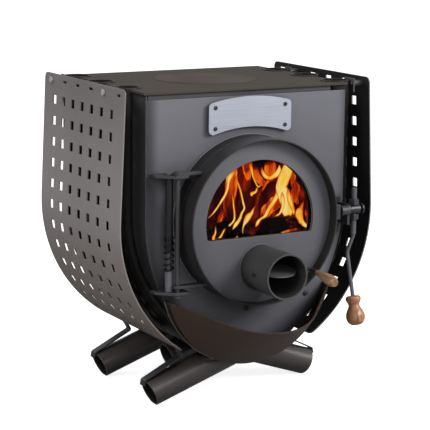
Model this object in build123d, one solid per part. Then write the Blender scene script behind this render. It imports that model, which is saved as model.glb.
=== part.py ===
from build123d import *
import math
import os

# Workshop stove: two flat end plates joined by six bent convection tubes.
# Millimetres, X to the right, Y to the back, Z up, floor at Z = 0, X = 0 in the middle of the door.
# Front and rear are named as the stove is seen from its door, so the door faces -Y.

# Clearances
FIT = 0.1
SLIDE = 0.3
SEAM = 1.0

# Convection tubes, numbered from the front, right and left in turn
TUBE_D = 57.0
TUBE_WALL = 3.0
TUBE_GAP = 0.5
TUBE_COUNT = 6
TUBE_X = 222.0
TUBE_TOP_Z = 628.5
BEND_R = 300.0
FOOT_LINE_Z = 92.5
FOOT_SLOPE = math.radians(18.73)
FOOT_REACH = 199.0
SHORT_REACH = 100.0
FOOT_END_LEAN = math.radians(5.0)

# Front and rear plates
END_SHEET = 4.0
FRONT_Y = -100.0
PLATE_LAP = 4.0
PLATE_ARC_R = 340.0
PLATE_ARC_Z = 379.5
PLATE_BOTTOM_Z = 75.0
FRONT_TOP_Z = 611.0

# Top plate and cooking disc
TOP_SHEET = 5.0
TOP_UNDER_Z = 621.5
TOP_LAP = 8.0
TOP_OVERHANG = 2.0
HOB_R = 105.0
HOB_SEAT_R = 97.0
HOB_RIM = 3.0
HOB_PROUD = 0.8
HEADER_Z = 590.0

# Sheets between the tubes
WEB_SHEET = 3.0

# Flue spigot
FLUE_R = 60.0
FLUE_WALL = 2.5
FLUE_Z = 520.0
FLUE_REACH = 46.8
FLANGE_R = 82.0
FLANGE_SHEET = 4.0
FLANGE_BOLT_CIRCLE_R = 71.0
FLANGE_BOLTS = 4
BOLT_R = 3.0
BOLT_AF = 10.0
BOLT_HEAD_T = 4.0

# Screws through the front plate, as X and Z
GUARD_SCREW = (0.0, 182.5)
LIP_SCREW = (141.0, 198.5)
SCREW_R = 3.0
SCREW_HEAD_R = 5.0
SCREW_HEAD_T = 3.0
SCREW_CROWN = 1.8

# Inside of the firebox
BAFFLE_TOP_Z = 458.0
BAFFLE_SHEET = 4.0
BAFFLE_FRONT_Y = 0.0
BRACKET_W = 10.0
BRACKET_H = 5.0
GUARD_LEFT_X = -110.0
GUARD_RIGHT_X = 88.0
GUARD_Z = 176.0
GUARD_H = 60.0
GUARD_SHEET = 3.0

# Door opening
DOOR_Z = 369.0
DOOR_R = 165.0
DRUM_WALL = 3.0
DRUM_EDGE_R = 0.9
DRUM_FRONT_Y = -176.0
COLLAR_FRONT_Y = -130.0
SEAT_RING_INSET = 8.0
SEAT_RING_WALL = 3.0
SEAT_RING_FRONT_Y = -135.0

# Door face, window and seals
FACE_Y = -152.5
FACE_SHEET = 4.0
WINDOW_INSET = 43.5
WINDOW_SILL = 15.5
WINDOW_CORNER_R = 5.0
GLASS_LAP = 8.0
GLASS_T = 4.0
GASKET_T = 2.0
CLIP_T = 2.0
CLIP_REACH = 16.0
CLIP_TAIL = 7.0
CLIP_W = 14.0
CLIP_SCREW_R = 2.0
CLIP_SCREW_HEAD_R = 3.8
CLIP_SCREW_OUT = 5.0
CLIP_SIDE_ANGLES = (25, 155)
CLIP_LOW_INSET = 36.5
ROPE_D = 10.0
ROPE_ROUND = 0.8
ROPE_CHANNEL_W = 12.0
CHANNEL_SHEET = 1.5
CHANNEL_LIP = 5.0
SHIELD_INSET = 20.0
SHIELD_SHEET = 2.0
SHIELD_GAP = 10.0
STANDOFF_R = 4.0
STANDOFF_HEAD_T = 1.5
STANDOFF_INSET = 7.0
STANDOFF_ANGLES = (6, 174, 220, 320)

# Air pipe and damper
PIPE_R = 45.0
PIPE_WALL = 3.0
PIPE_RIM = 28.5
PIPE_FRONT_Y = -256.5
DAMPER_Y = -208.5
DAMPER_ROD_R = 3.5
DAMPER_SHEET = 2.0
DAMPER_GAP = 1.0
DAMPER_DROOP = 8.0
DAMPER_ROD_LEFT_X = -50.0
DAMPER_ARM_X = 81.0
DAMPER_ARM_DROP = 6.0
DAMPER_BEND_R = 12.0
DAMPER_SCREW_R = 1.5
DAMPER_SCREW_X = 20.0
KNOB_BACK_Y = -233.5
KNOB_FRONT_Y = -299.5
KNOB_SMALL_R = 5.0
KNOB_WAIST_R = 7.6
KNOB_WAIST_AT = 0.35
KNOB_LARGE_R = 10.5
KNOB_LARGE_AT = 0.85
KNOB_END_R = 7.5
KNOB_SOCKET = 26.0

# Hinge on the left
PIN_OUT = 11.0
PIN_Y = -138.5
PIN_R = 4.5
LUG_SHEET = 5.0
UPPER_LUG_RISE = 96.0
LOWER_LUG_DROP = 132.0
LOWER_DOOR_LUG_DROP = 119.0
DOOR_LUG_R = 9.0
LUG_LEFT = 40.0
LUG_RIGHT = 22.0
LUG_CORNER_R = 6.0
NUT_H = 6.5
NUT_AF = 13.0
PIN_HEAD_R = 7.5
PIN_HEAD_T = 2.5
SPRING_BOLT_LEFT = 12.0
SPRING_BOLT_BACK = 13.0
SPRING_BOLT_HEAD_T = 5.0
SPRING_BOLT_END = 3.0
SPRING_BOLT_R = 4.0
COLUMN_R = 7.5
SPRING_Z = 283.0
SPRING_TOP_Z = 322.0
SPRING_WIRE = 2.4
SPRING_MEAN_R = 6.2
SPRING_TURNS = 6.0
SPRING_SEAT = 0.384

# Latch on the right
LATCH_Y = -133.5
LATCH_Z = 370.5
LATCH_SHAFT_R = 5.0
LATCH_OUT = 27.0
LATCH_BASE_W = 21.0
LATCH_SHEET = 5.0
LATCH_BASE_SHEET = 3.0
LATCH_BASE_Z = 318.5
LATCH_BASE_H = 75.0
CHEEK_R = 12.0
CHEEK_DROP = 30.0
HUB_OUT = 19.0
HUB_R = 10.0
HUB_HALF_W = 11.0
HEAD_R = 11.0
HEAD_T = 4.0
HEAD_GAP = 5.0
CAM_LEFT = 5.0
CAM_THROW = 4.0
WASHER_R = 9.5
LATCH_NUT_AF = 19.0
LATCH_NUT_H = 10.0
STEM_R = 5.5
STEM_TOP_Z = 415.0
STEM_LOW_Z = 318.0
LEVER_ROD_R = 4.0
LEVER_NECK = 6.0
LEVER_KNEE_IN = 7.5
LEVER_KNEE_Y = -124.0
LEVER_KNEE_Z = 281.0
LEVER_END_IN = 4.0
LEVER_END_Y = -144.0
LEVER_END_Z = 192.0
LEVER_BEND_R = (8, 25)
GRIP_LEN = 60.0
GRIP_SOCKET = 30.0
GRIP_TOP_R = 11.0
GRIP_END_R = 8.0
GRIP_BELLY = ((15.5, 4), (14.5, 11), (11.5, 17), (15.5, 29), (19.6, 43), (15.5, 55))
TONGUE_Y = -148.0
TONGUE_SHEET = 5.0
TONGUE_H = 30.0

# Ash lip under the door
LIP_R = 189.4
LIP_Z = 262.9
LIP_HALF_ANGLE = math.radians(76.0)
LIP_SPLIT_ANGLE = math.radians(41.5)
LIP_SHEET = 3.0
LIP_BAND = 21.5
RIM_SIDE_X = 176.0
RIM_SIDE_Y = -130.0
RIM_SIDE_Z = 214.0
RIM_BEND_X = 107.0
RIM_BEND_Y = -199.5
RIM_TIP_Y = -249.3
RIM_TIP_Z = 165.6

# Nameplate
NAME_HALF_W = 93.0
NAME_SIDE_LOW_Z = 534.5
NAME_SIDE_TOP_Z = 598.5
NAME_LOW_ARCH = 16.0
NAME_TOP_ARCH = 12.0
NAME_CORNER_R = 9.0
NAME_SHEET = 2.0
NAME_STANDOFF = 7.0
NAME_RIVET_X = 79.0
NAME_RIVET_INSET = 11.0
RIVET_R = 2.5
RIVET_HEAD_R = 4.25
RIVET_HEAD_T = 1.5
RIVET_SPACER_R = 4.5

# Perforated side screens
SCREEN_SHEET = 2.5
SCREEN_STAND_OUT = 54.4
SCREEN_TOP_Z = 635.5
SCREEN_BEND_Z = 383.0
SCREEN_FLARE = math.radians(2.53)
SCREEN_ARC_R = 305.0
SCREEN_TURN = math.radians(59.8)
SCREEN_FRONT_OVERHANG = 14.5
SCREEN_REAR_OVERHANG = 3.8
SCREEN_CORNER_R = 12.0
HOLE_PITCH_Y = 43.9
HOLE_PITCH_S = 43.05
HOLE_FRONT_Y = -58.4
HOLE_FIRST_S = 52.45
HOLE_W = 15.5
HOLE_H = 18.0
HOLE_COLUMNS = 7
HOLE_ROWS = 12
SLOT_Z = 622.0
SLOT_FRONT_Y = -85.7
SLOT_PITCH = 61.4
SLOT_COUNT = 6
SLOT_LEN = 20.0
SLOT_H = 6.0
BOLT_HOLE_R = 4.5
BOLT_SLOTS = {-1: (1, 5), 1: (0, 4)}
BRACKET_SHEET = 3.0
BRACKET_LAP = 8.0
BRACKET_DROP = 18.0
BRACKET_RISE = 10.0
SCREEN_BOLT_R = 3.0
SCREEN_HEAD_T = 3.5
SPACER_R = 6.0

# Clips between the screens and the feet
CLIP_STRIP_W = 18.0
CLIP_STRIP_T = 3.0
CLIP_FOLD = (130.0, 93.5)
CLIP_OUT = 2.5
CLIP_HOOK = 11.0
CLIP_KICK = 2.0
CLIP_LAP = 16.0
CLIP_BENDS = (6, 4, 3)

# Sizes that follow from the ones above
TUBE_R = TUBE_D / 2
TUBE_PITCH = TUBE_D + TUBE_GAP
PLATE_HALF_W = TUBE_X + PLATE_LAP
TOP_HALF_W = TUBE_X + TOP_LAP
SCREEN_TOP_X = TUBE_X + SCREEN_STAND_OUT
SCREEN_FRONT_Y = FRONT_Y - SCREEN_FRONT_OVERHANG
FRONT_BACK_Y = FRONT_Y + END_SHEET
TUBE_Y = [FRONT_BACK_Y + FIT + TUBE_R + i * TUBE_PITCH for i in range(TUBE_COUNT)]
TUBE_SIDE = [1 if i % 2 == 0 else -1 for i in range(TUBE_COUNT)]
REAR_INNER_Y = TUBE_Y[-1] + TUBE_R + FIT
REAR_Y = REAR_INNER_Y + END_SHEET
SCREEN_REAR_Y = REAR_Y + SCREEN_REAR_OVERHANG
BODY_MID_Y = (FRONT_Y + REAR_Y) / 2
TOP_Z = TOP_UNDER_Z + TOP_SHEET
BEND_X = TUBE_X - BEND_R
BEND_Z = FOOT_LINE_Z + BEND_X * math.tan(FOOT_SLOPE) + BEND_R / math.cos(FOOT_SLOPE)
TUBE_TURN = math.pi / 2 - FOOT_SLOPE
FLUE_END_Y = REAR_Y + FLUE_REACH
DRUM_INNER_R = DOOR_R - DRUM_WALL
SEAT_RING_R = DOOR_R - SEAT_RING_INSET
SHIELD_R = DOOR_R - SHIELD_INSET
PIPE_Z = DOOR_Z - (DOOR_R - PIPE_RIM - PIPE_R)
WINDOW_R = DOOR_R - WINDOW_INSET
WINDOW_CHORD = PIPE_Z + PIPE_R + WINDOW_SILL - DOOR_Z
DRUM_BACK_Y = COLLAR_FRONT_Y - SEAM
FACE_BACK_Y = FACE_Y + FACE_SHEET
GLASS_Y = FACE_BACK_Y + GASKET_T
ROPE_BACK_Y = SEAT_RING_FRONT_Y - SLIDE
ROPE_MID_R = SEAT_RING_R - SEAT_RING_WALL / 2
PIPE_INNER_R = PIPE_R - PIPE_WALL
DAMPER_R = PIPE_INNER_R - DAMPER_GAP
PIN_X = -(DOOR_R + PIN_OUT)
SPRING_BOLT_X = PIN_X - SPRING_BOLT_LEFT
SPRING_BOLT_Y = PIN_Y + SPRING_BOLT_BACK
UPPER_LUG_Z = DOOR_Z + UPPER_LUG_RISE
LOWER_LUG_Z = DOOR_Z - LOWER_LUG_DROP
UPPER_DOOR_LUG_Z = UPPER_LUG_Z + LUG_SHEET + SLIDE
LOWER_DOOR_LUG_Z = DOOR_Z - LOWER_DOOR_LUG_DROP
LATCH_BASE_X = DOOR_R + LATCH_OUT
LATCH_CHEEK_X = LATCH_BASE_X + LATCH_BASE_W
LATCH_BASE_RIGHT_X = LATCH_CHEEK_X + LATCH_SHEET
HUB_X = LATCH_CHEEK_X + HUB_OUT
SCREEN_ARC_X = (
    SCREEN_TOP_X
    + (SCREEN_TOP_Z - SCREEN_BEND_Z) * math.tan(SCREEN_FLARE)
    - SCREEN_ARC_R * math.cos(SCREEN_FLARE)
)
SCREEN_ARC_Z = SCREEN_BEND_Z - SCREEN_ARC_R * math.sin(SCREEN_FLARE)
SCREEN_STRAIGHT = (SCREEN_TOP_Z - SCREEN_BEND_Z) / math.cos(SCREEN_FLARE)

parts = {}


def box(x0, x1, y0, y1, z0, z1):
    """Block between two X, two Y and two Z values."""
    centre = Pos((x0 + x1) / 2, (y0 + y1) / 2, (z0 + z1) / 2)
    return centre * Box(abs(x1 - x0), abs(y1 - y0), abs(z1 - z0))


def rod_x(radius, x0, x1, y, z):
    """Cylinder along X."""
    return Pos((x0 + x1) / 2, y, z) * Rot(0, 90, 0) * Cylinder(radius, abs(x1 - x0))


def rod_y(radius, x, y0, y1, z):
    """Cylinder along Y."""
    return Pos(x, (y0 + y1) / 2, z) * Rot(90, 0, 0) * Cylinder(radius, abs(y1 - y0))


def rod_z(radius, x, y, z0, z1):
    """Cylinder along Z."""
    return Pos(x, y, (z0 + z1) / 2) * Cylinder(radius, abs(z1 - z0))


def ring_y(outer, inner, y0, y1, z):
    """Tube along Y about X = 0."""
    return rod_y(outer, 0, y0, y1, z) - rod_y(inner, 0, y0 - 1, y1 + 1, z)


def hex_z(across_flats, x, y, z0, z1):
    """Hexagon prism along Z."""
    prism = extrude(RegularPolygon(across_flats / 2, 6, major_radius=False), z1 - z0)
    return Pos(x, y, z0) * prism


def slab_y(face, y0, y1):
    """Face drawn in X and Z, given thickness from y0 to y1."""
    return Pos(0, y1, 0) * extrude(Plane.XZ * face, y1 - y0, dir=(0, -1, 0))


def arc_about(cx, cz, radius, start, end):
    """Arc in X and Z about a centre, with angles in radians."""
    points = [
        (cx + radius * math.cos(a), cz + radius * math.sin(a))
        for a in (start, (start + end) / 2, end)
    ]
    return ThreePointArc(*points)


def band_face(cx, cz, outer, inner, start, end):
    """Part of a flat ring between two angles."""
    outside = arc_about(cx, cz, outer, start, end)
    inside = arc_about(cx, cz, inner, start, end)
    return make_face([outside, Line(outside @ 1, inside @ 1), inside, Line(inside @ 0, outside @ 0)])


def as_one(pieces):
    """Separate solids kept together as one group."""
    solids = []
    for piece in pieces:
        solids += piece.solids()
    return Compound(children=solids)


# Convection tubes


def tube_point(side, u, y, z):
    """Point at a distance u from the middle on the tube's own side."""
    return (side * u, y, z)


def tube_path(side, y, reach):
    """Centre line from the outlet down the side, round the bend and out under the other side."""
    start = tube_point(side, TUBE_X, y, TUBE_TOP_Z)
    bend_start = tube_point(side, TUBE_X, y, BEND_Z)
    half = TUBE_TURN / 2
    middle = tube_point(side, BEND_X + BEND_R * math.cos(half), y, BEND_Z - BEND_R * math.sin(half))
    bend_end = tube_point(
        side, BEND_X + BEND_R * math.cos(TUBE_TURN), y, BEND_Z - BEND_R * math.sin(TUBE_TURN)
    )
    foot = tube_point(side, -reach, y, FOOT_LINE_Z - reach * math.tan(FOOT_SLOPE))
    return Wire([Line(start, bend_start), ThreePointArc(bend_start, middle, bend_end), Line(bend_end, foot)])


def convection_tube(side, y, reach, lean):
    """One bent tube with its end cut and ground flat where it meets the floor."""
    profile_plane = Plane(origin=(side * TUBE_X, y, TUBE_TOP_Z), x_dir=(1, 0, 0), z_dir=(0, 0, -1))
    profile = profile_plane * (Circle(TUBE_R) - Circle(TUBE_R - TUBE_WALL))
    tube = sweep(profile, tube_path(side, y, reach + TUBE_D))
    angle = FOOT_SLOPE + lean
    cut_plane = Plane(
        origin=tube_point(side, -reach, y, FOOT_LINE_Z - reach * math.tan(FOOT_SLOPE)),
        x_dir=(0, 1, 0),
        z_dir=(-side * math.cos(angle), 0, -math.sin(angle)),
    )
    tube -= cut_plane * Pos(0, 0, 2 * TUBE_D) * Box(3 * TUBE_D, 3 * TUBE_D, 4 * TUBE_D)
    tube -= box(-2 * TUBE_X, 2 * TUBE_X, y - TUBE_D, y + TUBE_D, -TUBE_D, 0)
    return tube


SIDE_NAME = {1: "right", -1: "left"}
PLACE_NAME = ("front", "middle", "rear")
for i in range(TUBE_COUNT):
    place = PLACE_NAME[i // 2]
    full = (i // 2 != 1)
    reach = FOOT_REACH if full else SHORT_REACH
    lean = FOOT_END_LEAN if full else 0.0
    tube_name = f"air_tube_{SIDE_NAME[TUBE_SIDE[i]]}_{place}"
    parts[tube_name] = convection_tube(TUBE_SIDE[i], TUBE_Y[i], reach, lean)


# End plates


def end_plate_face(top_z):
    """Outline with upright sides, two large arcs and a short flat at the bottom."""
    arc_x = PLATE_ARC_R - PLATE_HALF_W
    end = -math.asin((PLATE_ARC_Z - PLATE_BOTTOM_Z) / PLATE_ARC_R)
    right = arc_about(-arc_x, PLATE_ARC_Z, PLATE_ARC_R, 0, end)
    left = arc_about(arc_x, PLATE_ARC_Z, PLATE_ARC_R, math.pi, math.pi - end)
    return make_face(
        [
            Line((-PLATE_HALF_W, top_z), (PLATE_HALF_W, top_z)),
            Line((PLATE_HALF_W, top_z), right @ 0),
            right,
            Line(right @ 1, left @ 1),
            left,
            Line(left @ 0, (-PLATE_HALF_W, top_z)),
        ]
    )


front_plate = slab_y(end_plate_face(FRONT_TOP_Z), FRONT_Y, FRONT_BACK_Y)
front_plate -= rod_y(SEAT_RING_R + FIT, 0, FRONT_Y - 1, FRONT_BACK_Y + 1, DOOR_Z)
for x, z in (GUARD_SCREW, LIP_SCREW):
    front_plate -= rod_y(SCREW_R + FIT, x, FRONT_Y - 1, FRONT_BACK_Y + 1, z)
parts["front_plate"] = front_plate

rear_plate = slab_y(end_plate_face(TOP_UNDER_Z - FIT), REAR_INNER_Y, REAR_Y)
rear_plate -= rod_y(FLUE_R - FLUE_WALL, 0, REAR_INNER_Y - 1, REAR_Y + 1, FLUE_Z)


# Top plate, cooking disc and header behind the recess

top_plate = box(-TOP_HALF_W, TOP_HALF_W, FRONT_Y - TOP_OVERHANG, REAR_Y + TOP_OVERHANG, TOP_UNDER_Z, TOP_Z)
for side, y in zip(TUBE_SIDE, TUBE_Y):
    top_plate -= rod_z(TUBE_R + SLIDE, side * TUBE_X, y, TOP_UNDER_Z - 1, TOP_Z + 1)
top_plate -= rod_z(HOB_R + FIT + SLIDE, 0, BODY_MID_Y, TOP_Z - HOB_RIM, TOP_Z + 1)
top_plate -= rod_z(HOB_SEAT_R + SLIDE, 0, BODY_MID_Y, TOP_UNDER_Z - 1, TOP_Z)
parts["top_plate"] = top_plate

hob_disc = rod_z(HOB_R, 0, BODY_MID_Y, TOP_Z - HOB_RIM + FIT, TOP_Z + HOB_PROUD)
hob_disc += rod_z(HOB_SEAT_R, 0, BODY_MID_Y, TOP_UNDER_Z, TOP_Z - HOB_RIM + FIT)
parts["hob_disc"] = hob_disc

parts["front_header"] = box(
    -(TUBE_X - WEB_SHEET / 2 - FIT),
    TUBE_X - TUBE_R - FIT,
    FRONT_BACK_Y + FIT,
    FRONT_BACK_Y + FIT + END_SHEET,
    HEADER_Z,
    TOP_UNDER_Z - FIT,
)


# Sheets that close the side walls between tubes of one side


def web_end_angle():
    """Angle round the bend where the sheet meets the top of the crossing tubes."""
    outer = BEND_R + WEB_SHEET / 2
    level = FOOT_LINE_Z * math.cos(FOOT_SLOPE) + TUBE_R + SEAM
    offset = level - BEND_X * math.sin(FOOT_SLOPE) - BEND_Z * math.cos(FOOT_SLOPE)
    return FOOT_SLOPE - math.asin(offset / outer)


def web_sheet(side, y0, y1):
    """Upright sheet and its bend, along the centre line of the tubes."""
    half = WEB_SHEET / 2
    upright = box(TUBE_X - half, TUBE_X + half, y0, y1, BEND_Z, TOP_UNDER_Z - FIT)
    bend = slab_y(band_face(BEND_X, BEND_Z, BEND_R + half, BEND_R - half, -web_end_angle(), 0), y0, y1)
    sheet = upright + bend
    return sheet if side > 0 else mirror(sheet, about=Plane.YZ)


def web_gaps(side):
    """Y ranges between the tubes of one side and the end plates."""
    own = [y for s, y in zip(TUBE_SIDE, TUBE_Y) if s == side]
    walls = [FRONT_BACK_Y - TUBE_R] + own + [REAR_INNER_Y + TUBE_R]
    gaps = [(a + TUBE_R + FIT, b - TUBE_R - FIT) for a, b in zip(walls, walls[1:])]
    return [gap for gap in gaps if gap[1] - gap[0] > SEAM]


for side in (-1, 1):
    parts[f"side_sheets_{SIDE_NAME[side]}"] = as_one([web_sheet(side, a, b) for a, b in web_gaps(side)])
parts["front_header"] -= box(-TUBE_X, -TUBE_X + WEB_SHEET, FRONT_Y, 0, HEADER_Z - 1, TOP_Z)


# Flue spigot with its flange and bolts

FLANGE_Y = REAR_Y + FIT
flue_spigot = ring_y(FLUE_R, FLUE_R - FLUE_WALL, FLANGE_Y, FLUE_END_Y, FLUE_Z)
flue_spigot += ring_y(FLANGE_R, FLUE_R - FLUE_WALL, FLANGE_Y, FLANGE_Y + FLANGE_SHEET, FLUE_Z)
flange_bolts = []
for k in range(FLANGE_BOLTS):
    angle = 2 * math.pi * (k + 0.5) / FLANGE_BOLTS
    bx = FLANGE_BOLT_CIRCLE_R * math.cos(angle)
    bz = FLUE_Z + FLANGE_BOLT_CIRCLE_R * math.sin(angle)
    flue_spigot -= rod_y(BOLT_R + FIT, bx, FLANGE_Y - 1, FLANGE_Y + FLANGE_SHEET + 1, bz)
    rear_plate -= rod_y(BOLT_R + FIT, bx, REAR_INNER_Y - 1, REAR_Y + 1, bz)
    head_y = FLANGE_Y + FLANGE_SHEET + FIT
    head = Pos(bx, head_y, bz) * Rot(-90, 0, 0) * hex_z(BOLT_AF, 0, 0, 0, BOLT_HEAD_T)
    flange_bolts.append(head + rod_y(BOLT_R, bx, REAR_INNER_Y, head_y + 1, bz))
parts["rear_plate"] = rear_plate
parts["flue_spigot"] = flue_spigot
parts["flue_flange_bolts"] = as_one(flange_bolts)


# Baffle over the fire, its side bars, and the ember guard behind the door opening

bar_x = TUBE_X - TUBE_R - FIT
bar_top = BAFFLE_TOP_Z - BAFFLE_SHEET - FIT
baffle_back_y = REAR_INNER_Y - FIT
parts["baffle_plate"] = box(
    -(bar_x - FIT), bar_x - FIT, BAFFLE_FRONT_Y, baffle_back_y, BAFFLE_TOP_Z - BAFFLE_SHEET, BAFFLE_TOP_Z
)
parts["baffle_bars"] = as_one(
    [
        box(s * (bar_x - BRACKET_W), s * bar_x, BAFFLE_FRONT_Y, baffle_back_y, bar_top - BRACKET_H, bar_top)
        for s in (-1, 1)
    ]
)

guard_y = FRONT_BACK_Y + FIT
ember_guard = box(GUARD_LEFT_X, GUARD_RIGHT_X, guard_y, guard_y + GUARD_SHEET, GUARD_Z, GUARD_Z + GUARD_H)
ember_guard -= rod_y(SCREW_R + FIT, GUARD_SCREW[0], guard_y - 1, guard_y + GUARD_SHEET + 1, GUARD_SCREW[1])
parts["ember_guard"] = ember_guard


def button_screw(x, z, back_y):
    """Round-headed screw in the front plate."""
    head = rod_y(SCREW_HEAD_R, x, FRONT_Y - FIT - SCREW_HEAD_T, FRONT_Y - FIT, z)
    head = fillet(head.edges().sort_by(Axis.Y)[0], SCREW_CROWN)
    return head + rod_y(SCREW_R, x, FRONT_Y - FIT - 1, back_y, z)


parts["front_plate_screws"] = as_one(
    [
        button_screw(GUARD_SCREW[0], GUARD_SCREW[1], guard_y + GUARD_SHEET),
        button_screw(LIP_SCREW[0], LIP_SCREW[1], FRONT_BACK_Y - FIT),
    ]
)


# Collar on the front plate and the ring that the door rope closes on

parts["door_collar"] = ring_y(DOOR_R, DRUM_INNER_R, COLLAR_FRONT_Y, FRONT_Y, DOOR_Z)
parts["door_seat_ring"] = ring_y(
    SEAT_RING_R, SEAT_RING_R - SEAT_RING_WALL, SEAT_RING_FRONT_Y, FRONT_BACK_Y, DOOR_Z
)


# Door drum and face


def window_face(extra):
    """Segment of a circle above a chord, grown by extra all round."""
    radius = WINDOW_R + extra
    chord = WINDOW_CHORD - extra
    start = math.asin(chord / radius)
    arc = arc_about(0, 0, radius, start, math.pi - start)
    face = make_face([arc, Line(arc @ 1, arc @ 0)])
    return Pos(0, DOOR_Z) * fillet(face.vertices(), WINDOW_CORNER_R)


def window_slab(extra, y0, y1):
    return slab_y(window_face(extra), y0, y1)


drum = ring_y(DOOR_R, DRUM_INNER_R, DRUM_FRONT_Y, DRUM_BACK_Y, DOOR_Z)
drum = fillet(drum.edges().group_by(Axis.Y)[0], DRUM_EDGE_R)
parts["door_drum"] = drum

door_face = rod_y(DRUM_INNER_R - FIT, 0, FACE_Y, FACE_BACK_Y, DOOR_Z)
door_face -= window_slab(0, FACE_Y - 1, FACE_BACK_Y + 1)
door_face -= rod_y(PIPE_R + FIT, 0, FACE_Y - 1, FACE_BACK_Y + 1, PIPE_Z)

parts["window_gasket"] = window_slab(GLASS_LAP, FACE_BACK_Y + FIT, GLASS_Y) - window_slab(0, FACE_Y, 0)
parts["window_glass"] = window_slab(GLASS_LAP, GLASS_Y + FIT, GLASS_Y + GLASS_T)


# Clips and screws that hold the glass, at four places round the window

clip_y = GLASS_Y + GLASS_T + FIT
clip_back_y = clip_y + CLIP_T
screw_out = GLASS_LAP + CLIP_SCREW_OUT
clip_places = []
for angle in CLIP_SIDE_ANGLES:
    a = math.radians(angle)
    clip_places.append(((WINDOW_R + screw_out) * math.cos(a), (WINDOW_R + screw_out) * math.sin(a), -angle))
for side in (-1, 1):
    clip_places.append((side * (WINDOW_R - CLIP_LOW_INSET), WINDOW_CHORD - screw_out, 90))
screw_head_y = clip_back_y + FIT
glass_clips = []
screws = []
for sx, dz, turn in clip_places:
    sz = DOOR_Z + dz
    strip = box(-CLIP_REACH, CLIP_TAIL, clip_y, clip_back_y, -CLIP_W / 2, CLIP_W / 2)
    clip = Pos(sx, 0, sz) * Rot(0, turn, 0) * strip
    glass_clips.append(clip - rod_y(CLIP_SCREW_R + FIT, sx, clip_y - 1, clip_back_y + 1, sz))
    door_face -= rod_y(CLIP_SCREW_R + FIT, sx, FACE_Y + 1, FACE_BACK_Y + 1, sz)
    head = rod_y(CLIP_SCREW_HEAD_R, sx, screw_head_y, screw_head_y + CLIP_T, sz)
    screws.append(head + rod_y(CLIP_SCREW_R, sx, FACE_Y + 1 + FIT, screw_head_y + 1, sz))
parts["glass_clips"] = as_one(glass_clips)
parts["glass_clip_screws"] = as_one(screws)


# Rope channel and rope seal

channel_outer = ROPE_MID_R + ROPE_CHANNEL_W / 2
channel_inner = ROPE_MID_R - ROPE_CHANNEL_W / 2
rope_front_y = ROPE_BACK_Y - ROPE_D
channel_back_y = rope_front_y - FIT
channel_front_y = FACE_BACK_Y + FIT
channel = ring_y(channel_outer, channel_inner, channel_front_y, channel_back_y, DOOR_Z)
for edge_r in (channel_outer, channel_inner + CHANNEL_SHEET):
    lip_back_y = channel_back_y + CHANNEL_LIP
    channel += ring_y(edge_r, edge_r - CHANNEL_SHEET, channel_back_y - FIT, lip_back_y, DOOR_Z)
parts["rope_channel"] = channel

rope_r = (ROPE_CHANNEL_W - 2 * CHANNEL_SHEET) / 2 - FIT
rope_face = Pos(ROPE_MID_R, 0) * Rectangle(2 * rope_r, ROPE_D)
rope_face = fillet(rope_face.vertices(), rope_r * ROPE_ROUND)
rope_mid_y = (rope_front_y + ROPE_BACK_Y) / 2
rope = revolve(rope_face, axis=Axis.Y)
parts["rope_seal"] = Pos(0, rope_mid_y, DOOR_Z) * rope


# Inner heat shield on four standoffs

shield_y = GLASS_Y + GLASS_T + SHIELD_GAP
shield = rod_y(SHIELD_R, 0, shield_y, shield_y + SHIELD_SHEET, DOOR_Z)
shield -= window_slab(GLASS_LAP / 4, shield_y - 1, shield_y + SHIELD_SHEET + 1)
shield -= rod_y(PIPE_R - PIPE_WALL, 0, shield_y - 1, shield_y + SHIELD_SHEET + 1, PIPE_Z)
standoffs = []
for angle in STANDOFF_ANGLES:
    sx = (SHIELD_R - STANDOFF_INSET) * math.cos(math.radians(angle))
    sz = DOOR_Z + (SHIELD_R - STANDOFF_INSET) * math.sin(math.radians(angle))
    post = rod_y(STANDOFF_R, sx, FACE_BACK_Y + FIT, shield_y - FIT, sz)
    head_y = shield_y + SHIELD_SHEET + FIT
    stud = rod_y(STANDOFF_R / 2, sx, FACE_BACK_Y + FIT, head_y, sz)
    head = rod_y(STANDOFF_R, sx, head_y, head_y + STANDOFF_HEAD_T, sz)
    shield -= rod_y(STANDOFF_R / 2 + FIT, sx, shield_y - 1, shield_y + SHIELD_SHEET + 1, sz)
    standoffs.append(post + stud + head)
parts["heat_shield"] = shield
parts["shield_standoffs"] = as_one(standoffs)


# Air pipe

air_pipe = rod_y(PIPE_R, 0, PIPE_FRONT_Y, FACE_BACK_Y, PIPE_Z)
air_pipe -= rod_y(PIPE_INNER_R, 0, PIPE_FRONT_Y - 1, FACE_BACK_Y + 1, PIPE_Z)
air_pipe -= rod_x(DAMPER_ROD_R + FIT, -PIPE_R - 1, PIPE_R + 1, DAMPER_Y, PIPE_Z)
parts["air_pipe"] = air_pipe
parts["door_face"] = door_face


# Damper: shaft with a bent arm, round plate, two screws and a turned knob

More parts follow.
